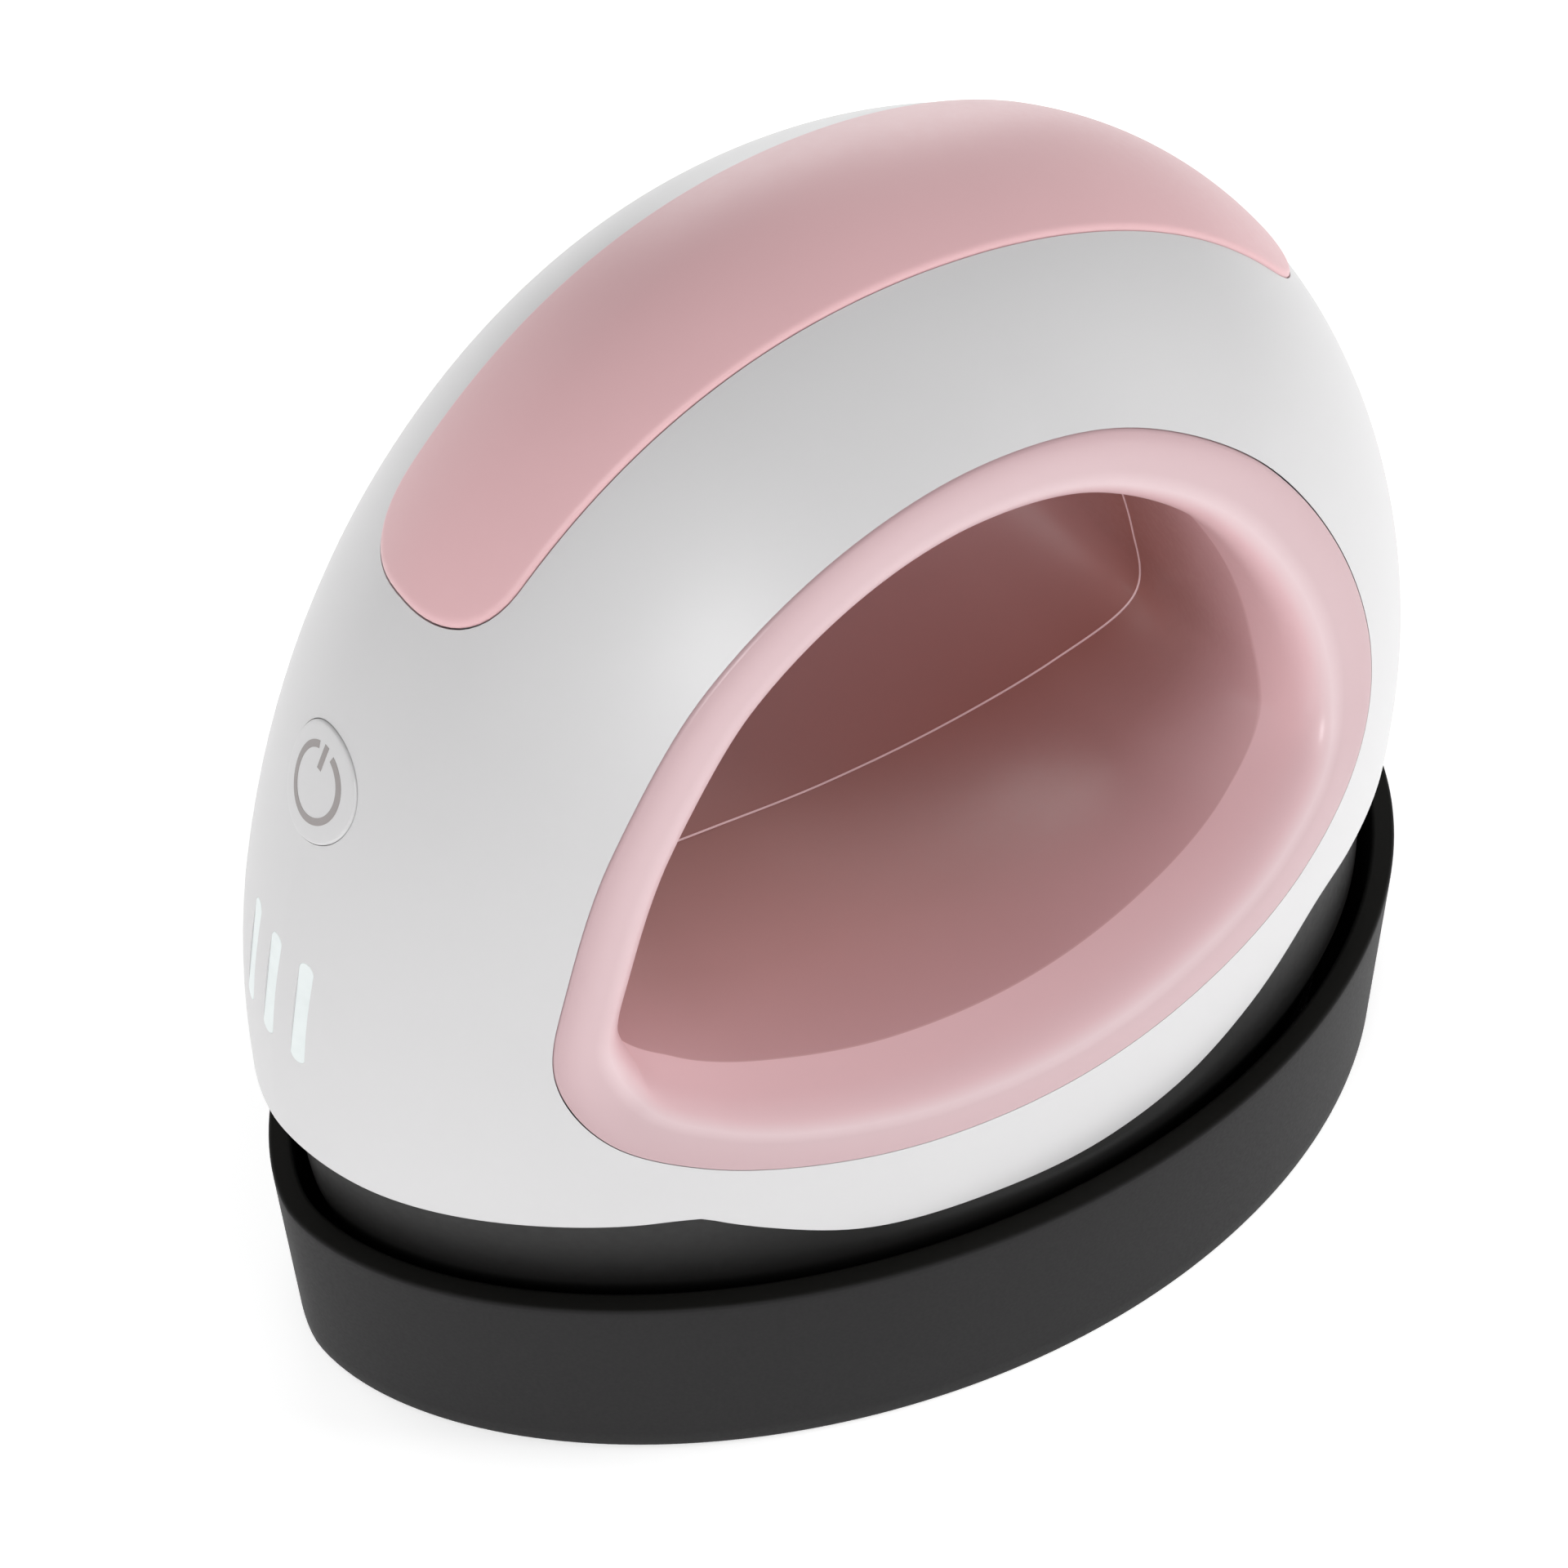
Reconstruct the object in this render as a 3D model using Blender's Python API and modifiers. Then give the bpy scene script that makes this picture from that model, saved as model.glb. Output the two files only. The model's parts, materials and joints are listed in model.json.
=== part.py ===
"""Mini heat press resting in its insulated stand, built as separate pieces.

Frame: metres, +Z up, origin on the table under the middle of the stand. The nose with the
power button points to -Y, the tail to +Y, and the hand hole runs along X.
"""
import math

import bmesh
import bpy
import numpy as np
from mathutils import Matrix, Vector

MM = 0.001
GAP = 0.3 * MM                      # clearance between pieces that touch

# Stand: plan sizes at its rim, egg shaped with the narrow end at the nose
BASE_HALF_WIDTH = 42.2 * MM
BASE_HALF_LENGTH = 63.0 * MM
BASE_SKEW = 1.16
FLARE_FRONT = 0.2 * MM              # how far the wall spreads down to the floor
FLARE_SIDE = 0.7 * MM
FLARE_REAR = 0.4 * MM
BASE_EDGE = 0.3 * MM                # chamfer round the foot of the wall
FOOT_HEIGHT = 0.4 * MM
FOOT_RECESS = 1.0 * MM
BASE_HEIGHT = 24.1 * MM
BASE_WALL = 2.3 * MM
BASE_FLOOR = 3.0 * MM
PAD_THICKNESS = 3.0 * MM            # fibre pad on the floor of the stand

# Helmet shell: height, half width, front reach and rear reach of its level sections
SHELL_STATIONS = (
    (21.8, 38.0, -61.6, 58.6),
    (31.8, 39.9, -62.2, 59.4),
    (44.6, 41.1, -61.7, 59.3),
    (54.1, 41.0, -60.3, 58.6),
    (63.6, 40.0, -57.8, 56.9),
    (73.1, 37.9, -54.4, 54.2),
    (82.6, 34.7, -49.8, 50.2),
    (92.1, 30.0, -43.8, 44.5),
    (101.6, 23.5, -35.6, 35.8),
    (108.6, 16.4, -26.8, 25.6),
    (113.0, 9.4, -17.5, 14.3),
    (115.2, 0.0, -3.0, -3.0),
)
SHELL_SKEW = 1.11
SHELL_WALL = 2.4 * MM
# Lower edge of the shell: angle from the nose in degrees, height
SHELL_EDGE = (
    (0, 37.8), (18, 36.9), (34, 37.3), (50, 38.0), (56, 35.4), (65, 30.8), (78, 28.6), (92, 28.0),
    (100, 30.0), (108, 35.2), (117, 42.2), (124, 42.8), (145, 41.8), (180, 41.4),
)

# Hand hole seen from the side (y, z), from its lowest point round the tail end
RIM_OUTLINE = (
    (-16, 43.7), (-2, 44.5), (12, 47.4), (25, 51.8), (34.0, 58.4), (36.3, 67.8), (32.3, 80.9),
    (24.0, 92.8), (11.5, 100.9), (-2.4, 103.0), (-16, 99.7), (-28.2, 91.6), (-37.6, 79.4),
    (-43.2, 66.8), (-45.3, 57.6), (-42.6, 50.4), (-36, 46.6), (-27, 44.6),
)
# The same hole at the middle plane, point for point
MIDDLE_OUTLINE = (
    (-14, 47.0), (-2, 45.2), (12, 44.6), (26, 45.8), (35.6, 49.2), (34.6, 58.8), (29.8, 71.3),
    (20.5, 83.8), (9.5, 91.2), (-3, 93.8), (-15, 91.2), (-24.5, 83.8), (-31.5, 73.3),
    (-35.4, 63.8), (-37.0, 57.8), (-35.4, 53.2), (-30.5, 50.4), (-23, 48.6),
)
LINER_WALL = 1.6 * MM
LIP_DEPTH = 5.6 * MM                # semi-axes of the rounded lip, along X
LIP_REACH = 4.5 * MM                # and in the plane of the hole

# Grip pad on the crown, seen from above
PAD_FRONT = -42.5 * MM
PAD_REAR = 44.0 * MM
PAD_HALF_WIDTH_FRONT = 8.3 * MM
PAD_HALF_WIDTH_REAR = 11.3 * MM
PAD_END_LENGTH = 6.6 * MM
PAD_END_POWER = 2.2
POCKET_DEPTH = 1.2 * MM
PAD_PROUD = 0.4 * MM

# Nose controls
BUTTON_RADIUS = 5.4 * MM
BUTTON_NARROW = 0.92                # its width over its height
BUTTON_HEIGHT = 77.8 * MM
BUTTON_PROUD = 0.2 * MM
BUTTON_FLANGE_RADIUS = 6.3 * MM
SLOT_HEIGHT = 56.4 * MM             # middle of the three indicator slots
SLOT_LENGTH = 11.9 * MM
SLOT_WIDTH = 1.7 * MM
SLOT_PITCH = 4.3 * MM
PIPE_LENGTH = 8.4 * MM

# Boards
BOARD_THICKNESS = 1.6 * MM
CONTROL_BOARD = (24 * MM, 36 * MM)
CONTROL_CENTRE = (0, -44.1 * MM, 65.6 * MM)
CONTROL_LEAN = math.radians(16)
POWER_BOARD = (44 * MM, 48 * MM)
POWER_CENTRE = (0, 0, 31.4 * MM)

# Heat shield and hot stack, bottom up
SKIRT_BOTTOM = 12.3 * MM
SKIRT_OVERLAP = 3.0 * MM            # how far it reaches up inside the shell
SKIRT_WALL = 1.8 * MM
SKIRT_CLEARANCE = 0.6 * MM
SKIRT_TAPER = 2.0 * MM              # how far it draws in from the stand's rim to its foot
SKIRT_GAP = 1.3 * MM                # slit left between it and the stand's wall
DECK_BOTTOM = 25.6 * MM
DECK_TOP = 27.4 * MM
PLATE_BOTTOM = 11.2 * MM
PLATE_TOP = 19.2 * MM
ELEMENT_THICKNESS = 1.0 * MM
CLAMP_THICKNESS = 1.2 * MM
SCREW_PLACES = ((-16, -26), (16, -26), (-21, 26), (21, 26))
SCREW_RADIUS = 1.2 * MM
LEAD_X = (-5 * MM, 5 * MM)
LEAD_DROP_Y = 33 * MM
LEAD_RADIUS = 1.0 * MM

# Tail gland
GLAND_HEIGHT = 51.8 * MM
GLAND_RADIUS = 5.6 * MM

AROUND = 64                         # points round a large outline


# ---------------------------------------------------------------- scene and materials

def clear_scene():
    for obj in list(bpy.data.objects):
        bpy.data.objects.remove(obj)


def collection(name):
    group = bpy.data.collections.new(name)
    bpy.context.scene.collection.children.link(group)
    return group


def material(name, colour, roughness, metallic=0.0, transmission=0.0):
    mat = bpy.data.materials.new(name)
    mat.use_nodes = True
    shader = mat.node_tree.nodes["Principled BSDF"]
    shader.inputs["Base Color"].default_value = (*colour, 1.0)
    shader.inputs["Roughness"].default_value = roughness
    shader.inputs["Metallic"].default_value = metallic
    shader.inputs["Transmission Weight"].default_value = transmission
    return mat


clear_scene()
PARTS = collection("mini_heat_press")
CUTTERS = collection("cutters")

WHITE = material("gloss_white_plastic", (0.78, 0.78, 0.78), 0.3)
PINK = material("pink_soft_plastic", (0.68, 0.42, 0.44), 0.45)
ROSE = material("pink_liner_plastic", (0.72, 0.45, 0.48), 0.35)
BLACK = material("black_satin_plastic", (0.035, 0.035, 0.036), 0.5)
BOARD_GREEN = material("board_green", (0.02, 0.16, 0.06), 0.5)
ALUMINIUM = material("brushed_aluminium", (0.75, 0.75, 0.77), 0.35, metallic=1.0)
STEEL = material("zinc_steel", (0.6, 0.6, 0.62), 0.3, metallic=1.0)
FIBRE = material("ceramic_fibre", (0.75, 0.73, 0.68), 0.95)
DARK_FELT = material("carbon_felt", (0.03, 0.03, 0.03), 0.95)
MICA = material("mica_sheet", (0.5, 0.42, 0.3), 0.6)
RUBBER = material("black_rubber", (0.02, 0.02, 0.02), 0.8)
CLEAR = material("frosted_light_pipe", (0.9, 0.95, 0.95), 0.3, transmission=0.5)
COMPONENT = material("component_black", (0.02, 0.02, 0.025), 0.4)
RELAY_BLUE = material("relay_blue", (0.03, 0.12, 0.45), 0.4)
CERAMIC = material("white_ceramic", (0.85, 0.84, 0.8), 0.5)
LEAD_RED = material("red_silicone", (0.5, 0.03, 0.02), 0.6)


# ---------------------------------------------------------------- mesh helpers

def add_object(name, bm, mat, group=None, smooth_angle=35):
    bmesh.ops.recalc_face_normals(bm, faces=bm.faces)
    mesh = bpy.data.meshes.new(name)
    bm.to_mesh(mesh)
    bm.free()
    mesh.shade_smooth()
    mesh.set_sharp_from_angle(angle=math.radians(smooth_angle))
    obj = bpy.data.objects.new(name, mesh)
    (group or PARTS).objects.link(obj)
    if mat:
        mesh.materials.append(mat)
    if group is CUTTERS:
        obj.hide_render = True
        obj.display_type = 'WIRE'
    return obj


def loft(bm, rings, closed=False):
    """Join equal rings of points with quads, and cap both ends or join the last to the first."""
    rows = [[bm.verts.new(point) for point in ring] for ring in rings]
    pairs = list(zip(rows, rows[1:]))
    if closed:
        pairs.append((rows[-1], rows[0]))
    for low, high in pairs:
        for i in range(len(low)):
            j = (i + 1) % len(low)
            bm.faces.new((low[i], low[j], high[j], high[i]))
    if not closed:
        bm.faces.new(rows[0])
        bm.faces.new(rows[-1])


def box(name, size, centre, mat, rotation=(0, 0, 0)):
    bm = bmesh.new()
    bmesh.ops.create_cube(bm, size=1.0, matrix=Matrix.Diagonal((*size, 1.0)))
    obj = add_object(name, bm, mat)
    obj.location = centre
    obj.rotation_euler = rotation
    return obj


def cylinder(bm, radius, low, high, x=0.0, y=0.0, segments=24):
    centre = Matrix.Translation((x, y, (low + high) / 2))
    bmesh.ops.create_cone(bm, cap_ends=True, segments=segments, radius1=radius, radius2=radius,
                          depth=high - low, matrix=centre)


def turned(name, profile, mat, steps=28):
    """A solid of revolution about its own Z, from (radius, height) points, top to bottom."""
    mesh = bpy.data.meshes.new(name)
    points = [(radius, 0.0, height) for radius, height in profile]
    mesh.from_pydata(points, [(i, i + 1) for i in range(len(points) - 1)], [])
    mesh.materials.append(mat)
    obj = bpy.data.objects.new(name, mesh)
    PARTS.objects.link(obj)
    screw = obj.modifiers.new("turn", 'SCREW')
    screw.steps = steps
    screw.render_steps = steps
    screw.use_merge_vertices = True
    screw.merge_threshold = 0.00001
    screw.use_smooth_shade = True
    return obj


def cut(obj, *cutters):
    for cutter in cutters:
        modifier = obj.modifiers.new("cut_" + cutter.name, 'BOOLEAN')
        modifier.operation = 'DIFFERENCE'
        modifier.object = cutter


# ---------------------------------------------------------------- curves and surfaces

def smooth(xs, ys, x):
    """Cubic through the points (xs, ys) with finite-difference slopes."""
    xs = np.asarray(xs, float)
    ys = np.asarray(ys, float)
    slopes = np.gradient(ys, xs)
    i = np.clip(np.searchsorted(xs, x) - 1, 0, len(xs) - 2)
    step = xs[i + 1] - xs[i]
    t = (x - xs[i]) / step
    return ((2 * t**3 - 3 * t**2 + 1) * ys[i] + (t**3 - 2 * t**2 + t) * step * slopes[i]
            + (3 * t**2 - 2 * t**3) * ys[i + 1] + (t**3 - t**2) * step * slopes[i + 1])


def closed_curve(points, count):
    """Points spread evenly by index along a closed Catmull-Rom curve."""
    points = np.array(points, float) * MM
    n = len(points)
    out = []
    for k in range(count):
        u = k * n / count
        i = int(u)
        t = u - i
        p0, p1, p2, p3 = (points[(i + d) % n] for d in (-1, 0, 1, 2))
        out.append(p1 + 0.5 * t * (p2 - p0 + t * (2 * p0 - 5 * p1 + 4 * p2 - p3
                                                  + t * (3 * (p1 - p2) + p3 - p0))))
    return np.array(out)


def offset_outline(points, distance):
    """Move a closed outline outwards along its normals."""
    tangent = np.roll(points, -1, axis=0) - np.roll(points, 1, axis=0)
    normal = np.stack([tangent[:, 1], -tangent[:, 0]], axis=1)
    normal /= np.linalg.norm(normal, axis=1)[:, None]
    area = np.sum(points[:, 0] * np.roll(points[:, 1], -1) - points[:, 1] * np.roll(points[:, 0], -1))
    return points + normal * distance * (1 if area > 0 else -1)


STATIONS = np.array(SHELL_STATIONS) * MM
SHELL_TOP = STATIONS[-1, 0]


def crown_depth(z):
    """Square root of the depth below the crown, in which the shell's reaches run smoothly."""
    return np.sqrt(np.maximum(SHELL_TOP - z, 0.0))


def section(z):
    """Half width, front reach and rear reach of the shell's level section at height z."""
    depth = crown_depth(STATIONS[::-1, 0])
    width, front, rear = (smooth(depth, STATIONS[::-1, k], crown_depth(z)) for k in (1, 2, 3))
    least = 0.01 * MM
    return np.maximum(width, least), front, np.maximum(rear, front + 2 * least)


def egg(angle, width, front, rear, skew):
    """Plan point of an oval whose widest place lies behind its middle; angle 0 is the nose."""
    share = ((1 - np.cos(angle)) / 2)**(1 / skew)
    return width * np.sin(angle), front + (rear - front) * share


def shell_point(angle, z):
    x, y = egg(angle, *section(z), SHELL_SKEW)
    return np.array([x, y, z + 0 * angle])


def shell_field(x, y, z):
    """Negative inside the shell's outer surface, positive outside."""
    width, front, rear = section(z)
    share = (y - front) / (rear - front)
    bent = np.sign(share) * np.abs(share)**SHELL_SKEW
    return (x / width)**2 + (1 - 2 * bent)**2 - 1


def shell_normal(x, y, z):
    step = 0.02 * MM
    slope = np.array([shell_field(x + step, y, z) - shell_field(x - step, y, z),
                      shell_field(x, y + step, z) - shell_field(x, y - step, z),
                      shell_field(x, y, z + step) - shell_field(x, y, z - step)])
    return slope / np.linalg.norm(slope, axis=0)


def shell_side(y, z):
    """X of the outer surface on the +X side."""
    width, front, rear = section(z)
    bent = ((y - front) / (rear - front))**SHELL_SKEW
    return width * np.sqrt(np.maximum(1 - (1 - 2 * bent)**2, 0.0))


def bisect_surface(inside, outside):
    """Where the line between an inner and an outer point leaves the shell's surface."""
    for _ in range(40):
        middle = (inside + outside) / 2
        within = shell_field(*middle) < 0
        inside = np.where(within, middle, inside)
        outside = np.where(within, outside, middle)
    return inside


def shell_height(x, y):
    """Height of the outer surface over a point seen from above."""
    low = np.array([x, y, np.full(np.shape(x), 50 * MM)])
    high = np.array([x, y, np.full(np.shape(x), SHELL_TOP - 0.001 * MM)])
    return bisect_surface(low, high)[2]


def nose_frame(z):
    """Point on the nose at height z, and how far its outward normal tilts up."""
    front = float(section(z)[1])
    step = 1.0 * MM
    lean = float(section(z + step)[1] - section(z - step)[1]) / (2 * step)
    return Vector((0, front, z)), math.atan(lean)


# ---------------------------------------------------------------- stand

def ring_at(width, front, rear, skew, z):
    """A closed ring of points on an egg outline; z may vary round it."""
    angles = np.arange(AROUND) * 2 * math.pi / AROUND
    x, y = egg(angles, width, front, rear, skew)
    return [tuple(point) for point in np.stack([x, y, z + 0 * angles], axis=1)]


def base_ring(inset, z):
    reach = BASE_HALF_LENGTH - inset
    return ring_at(BASE_HALF_WIDTH - inset, -reach, reach, BASE_SKEW, z)


def flared_ring(inset, z):
    """The stand's outline at the foot of its wall."""
    return ring_at(BASE_HALF_WIDTH + FLARE_SIDE - inset, inset - FLARE_FRONT - BASE_HALF_LENGTH,
                   BASE_HALF_LENGTH + FLARE_REAR - inset, BASE_SKEW, z)


FOOT_PLACES = ((-20, -34), (20, -34), (-24, 40), (24, 40))
STUD_PLACES = ((0, -56.8), (0, 56.8), (-35.7, 6), (35.7, 6))
STUD_RADIUS = 2.0 * MM


def make_base():
    low = FOOT_HEIGHT
    bm = bmesh.new()
    loft(bm, [
        flared_ring(BASE_EDGE, low), flared_ring(0, low + BASE_EDGE),
        base_ring(0, BASE_HEIGHT - 0.4 * MM), base_ring(0.4 * MM, BASE_HEIGHT),
        base_ring(BASE_WALL, BASE_HEIGHT), base_ring(BASE_WALL, low + BASE_FLOOR),
    ])
    tray = add_object("base_tray", bm, BLACK)
    bm = bmesh.new()
    for x, y in FOOT_PLACES:
        cylinder(bm, 6 * MM + GAP, -1 * MM, low + FOOT_RECESS, x * MM, y * MM)
    cut(tray, add_object("foot_pockets", bm, None, CUTTERS))

    floor = low + BASE_FLOOR
    bm = bmesh.new()
    inset = BASE_WALL + 3.4 * MM
    loft(bm, [base_ring(inset, floor + GAP), base_ring(inset, floor + GAP + PAD_THICKNESS)])
    pad = add_object("insulating_pad", bm, DARK_FELT)
    bm = bmesh.new()
    for x, y in STUD_PLACES:
        cylinder(bm, STUD_RADIUS + GAP, low, BASE_HEIGHT, x * MM, y * MM, segments=16)
    cut(pad, add_object("stud_clearance", bm, None, CUTTERS))

    names = ("front_left", "front_right", "rear_left", "rear_right")
    for name, (x, y) in zip(names, FOOT_PLACES):
        top = low + FOOT_RECESS - GAP
        foot = turned("foot_" + name, ((0, top), (6 * MM, top), (6 * MM, 0.3 * MM),
                                       (5.6 * MM, 0), (0, 0)), RUBBER, steps=20)
        foot.location = (x * MM, y * MM, 0)

    names = ("front", "rear", "left", "right")
    for name, (x, y) in zip(names, STUD_PLACES):
        top = SKIRT_BOTTOM - GAP
        stud = turned("rest_stud_" + name, ((0, top), (1.5 * MM, top), (STUD_RADIUS, top - 0.5 * MM),
                                            (STUD_RADIUS, floor + GAP), (0, floor + GAP)), RUBBER, steps=16)
        stud.location = (x * MM, y * MM, 0)


# ---------------------------------------------------------------- shell, liners and grip pad

def edge_height(angle):
    degrees = np.abs((np.degrees(angle) + 180) % 360 - 180)
    table = np.array(SHELL_EDGE, float)
    mirrored = np.vstack([table[1:3][::-1] * (-1, 1), table, (360, 0) + table[-3:-1][::-1] * (-1, 1)])
    return smooth(mirrored[:, 0], mirrored[:, 1], degrees) * MM


def shell_rings(offset, levels):
    angles = np.arange(AROUND) * 2 * math.pi / AROUND
    low = edge_height(angles)
    rings = []
    for level in levels:
        z = SHELL_TOP - (SHELL_TOP - low) * level**2
        points = shell_point(angles, z)
        points = points + shell_normal(*points) * offset
        rings.append([tuple(p) for p in points.T])
    return rings


def make_shell():
    levels = np.concatenate([[0.06, 0.14], np.linspace(0.24, 1.0, 13)])
    outer = shell_rings(0.0, levels[::-1])
    inner = shell_rings(-SHELL_WALL, levels)
    bm = bmesh.new()
    rows = outer + inner
    verts = [[bm.verts.new(p) for p in ring] for ring in rows]
    count = len(outer)
    for k in range(len(verts)):
        if k == count - 1:
            continue
        low, high = verts[k], verts[(k + 1) % len(verts)]
        for i in range(AROUND):
            j = (i + 1) % AROUND
            bm.faces.new((low[i], low[j], high[j], high[i]))
    for ring, height in ((verts[count - 1], SHELL_TOP), (verts[count], SHELL_TOP - SHELL_WALL)):
        tip = bm.verts.new((0, STATIONS[-1, 2], height))
        for i in range(AROUND):
            bm.faces.new((ring[i], ring[(i + 1) % AROUND], tip))
    shell = add_object("outer_shell", bm, WHITE)
    cut(shell, hand_hole_cutter(), pocket_cutter(), *nose_cutters(), gland_cutter())


def hand_hole_cutter():
    outline = offset_outline(closed_curve(RIM_OUTLINE, 56), GAP)
    bm = bmesh.new()
    loft(bm, [[(x, y, z) for y, z in outline] for x in (-60 * MM, 60 * MM)])
    return add_object("hand_hole", bm, None, CUTTERS)


def pad_half_width(y, grow):
    front, rear = PAD_FRONT - grow, PAD_REAR + grow
    share = (y - front) / (rear - front)
    width = PAD_HALF_WIDTH_FRONT + (PAD_HALF_WIDTH_REAR - PAD_HALF_WIDTH_FRONT) * share + grow
    end = np.clip(np.minimum(y - front, rear - y) / PAD_END_LENGTH, 0, 1)
    return width * (1 - (1 - end)**PAD_END_POWER)**(1 / PAD_END_POWER)


def blanket(bm, grow, low, high):
    """A sheet lying on the crown inside the pad's outline, between two offsets from the shell."""
    front, rear = PAD_FRONT - grow, PAD_REAR + grow
    ends = PAD_END_LENGTH * np.array([0.004, 0.06, 0.2, 0.45, 0.8])
    middle = np.linspace(front + PAD_END_LENGTH * 1.3, rear - PAD_END_LENGTH * 1.3, 13)
    ys = np.concatenate([front + ends, middle, rear - ends[::-1]])
    across = np.array([-1, -0.85, -0.5, 0, 0.5, 0.85, 1])
    grid_y = np.repeat(ys[:, None], len(across), axis=1)
    grid_x = pad_half_width(ys, grow)[:, None] * across[None, :]
    grid_z = shell_height(grid_x, grid_y)
    points = np.array([grid_x, grid_y, grid_z])
    normal = shell_normal(*points)
    sheets = []
    for offset in (low, high):
        moved = points + normal * offset
        sheets.append([[bm.verts.new(moved[:, i, j]) for j in range(len(across))]
                       for i in range(len(ys))])
    for i in range(len(ys) - 1):
        for j in range(len(across) - 1):
            for sheet in sheets:
                bm.faces.new((sheet[i][j], sheet[i][j + 1], sheet[i + 1][j + 1], sheet[i + 1][j]))
    rim = ([(i, 0) for i in range(len(ys))] + [(len(ys) - 1, j) for j in range(1, len(across))]
           + [(i, len(across) - 1) for i in range(len(ys) - 2, -1, -1)]
           + [(0, j) for j in range(len(across) - 2, 0, -1)])
    for k in range(len(rim)):
        (a, b), (c, d) = rim[k], rim[(k + 1) % len(rim)]
        bm.faces.new((sheets[0][a][b], sheets[0][c][d], sheets[1][c][d], sheets[1][a][b]))


def pocket_cutter():
    bm = bmesh.new()
    blanket(bm, GAP, -POCKET_DEPTH, 4 * MM)
    return add_object("grip_pocket", bm, None, CUTTERS)


def make_grip_pad():
    bm = bmesh.new()
    blanket(bm, 0.0, GAP - POCKET_DEPTH, PAD_PROUD)
    add_object("grip_pad", bm, PINK)


def make_liner(name, side):
    """One half of the hand hole's lining: a wall from the middle out to a lip flush with the shell."""
    count = 54
    rim = closed_curve(RIM_OUTLINE, count)
    middle = closed_curve(MIDDLE_OUTLINE, count)
    rim_x = shell_side(rim[:, 0], rim[:, 1])
    normal = shell_normal(rim_x, rim[:, 0], rim[:, 1])
    outward = offset_outline(rim, 1.0) - rim
    lift = normal[1] * outward[:, 0] + normal[2] * outward[:, 1]
    first = np.arctan2(lift * LIP_REACH, normal[0] * LIP_DEPTH)

    def lip(share):
        """The rounded lip, from the shell's own slope (0) to running inwards along X (1)."""
        angle = first + (-math.pi / 2 - first) * share
        x = rim_x + LIP_DEPTH * (np.cos(angle) - np.cos(first))
        reach = LIP_REACH * (np.sin(angle) - np.sin(first))
        return x, rim + outward * reach[:, None]

    def ring(x, outline):
        reach = np.broadcast_to(x, count)
        return [(side * float(a), float(p[0]), float(p[1])) for a, p in zip(reach, outline)]

    seam = GAP / 2
    throat_x, throat = lip(1.0)
    tunnel = []
    for share in (0.0, 0.3, 0.6, 0.85):
        blend = share * share * (3 - 2 * share)
        tunnel.append((seam + (throat_x - seam) * share, middle + (throat - middle) * blend))
    rings = [ring(x, outline) for x, outline in tunnel]
    rings += [ring(*lip(share)) for share in (1.0, 0.82, 0.62, 0.42, 0.2, 0.0)]
    rings.append(ring(rim_x - LINER_WALL, rim))
    rings.append(ring(throat_x - 0.5 * MM, offset_outline(throat, LINER_WALL)))
    rings += [ring(x, offset_outline(outline, LINER_WALL)) for x, outline in tunnel[::-1]]
    bm = bmesh.new()
    loft(bm, rings, closed=True)
    add_object(name, bm, ROSE)


# ---------------------------------------------------------------- nose controls

def stadium(width, height, count=16):
    """Upright slot outline with round ends."""
    radius = width / 2
    straight = height / 2 - radius
    points = []
    for k in range(count):
        angle = (k + 0.5) * 2 * math.pi / count
        lift = straight if math.sin(angle) > 0 else -straight
        points.append((radius * math.cos(angle), radius * math.sin(angle) + lift))
    return points


def nose_matrix(place, tilt):
    """Local Z along the outward normal, local Y up, local X across."""
    return Matrix.Translation(place) @ Matrix.Rotation(math.pi / 2 - tilt, 4, 'X')


def slot_places():
    place, tilt = nose_frame(SLOT_HEIGHT)
    for name, x in (("left", -SLOT_PITCH), ("middle", 0), ("right", SLOT_PITCH)):
        yield name, nose_matrix(place + Vector((x, 0, 0)), tilt)


def plug(bm, matrix, outlines, body):
    """A plug whose face follows the shell: (outline, proud) pairs from its middle out, then its body.

    The face is found on the shell by looking along the plug's own axis; body holds plain rings.
    """
    inwards = np.array(matrix.to_3x3() @ Vector((0, 0, -1)))
    back = matrix.inverted()
    rings = []
    for outline, proud in outlines:
        starts = np.array([matrix @ Vector((x, y, 0)) for x, y in outline]).T
        face = bisect_surface(starts + inwards[:, None] * 12 * MM, starts - inwards[:, None] * 4 * MM)
        rings.append([back @ Vector(p - inwards * proud) for p in face.T])
    rings += [[Vector(p) for p in ring] for ring in body]
    loft(bm, rings)


def button_oval(radius, count=32):
    angles = [k * 2 * math.pi / count for k in range(count)]
    return [(BUTTON_NARROW * radius * math.cos(a), radius * math.sin(a)) for a in angles]


def at_depth(outline, z):
    return [(x, y, z) for x, y in outline]


def nose_cutters():
    bm = bmesh.new()
    loft(bm, [at_depth(button_oval(BUTTON_RADIUS + GAP), z) for z in (-8 * MM, 5 * MM)])
    cutters = [add_object("button_hole", bm, None, CUTTERS)]
    place_object(cutters[0], nose_matrix(*nose_frame(BUTTON_HEIGHT)))
    outline = stadium(SLOT_WIDTH + 2 * GAP, SLOT_LENGTH + 2 * GAP)
    for name, matrix in slot_places():
        bm = bmesh.new()
        loft(bm, [at_depth(outline, -9 * MM), at_depth(outline, 5 * MM)])
        slot = add_object("slot_" + name, bm, None, CUTTERS)
        place_object(slot, matrix)
        cutters.append(slot)
    return cutters


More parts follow.
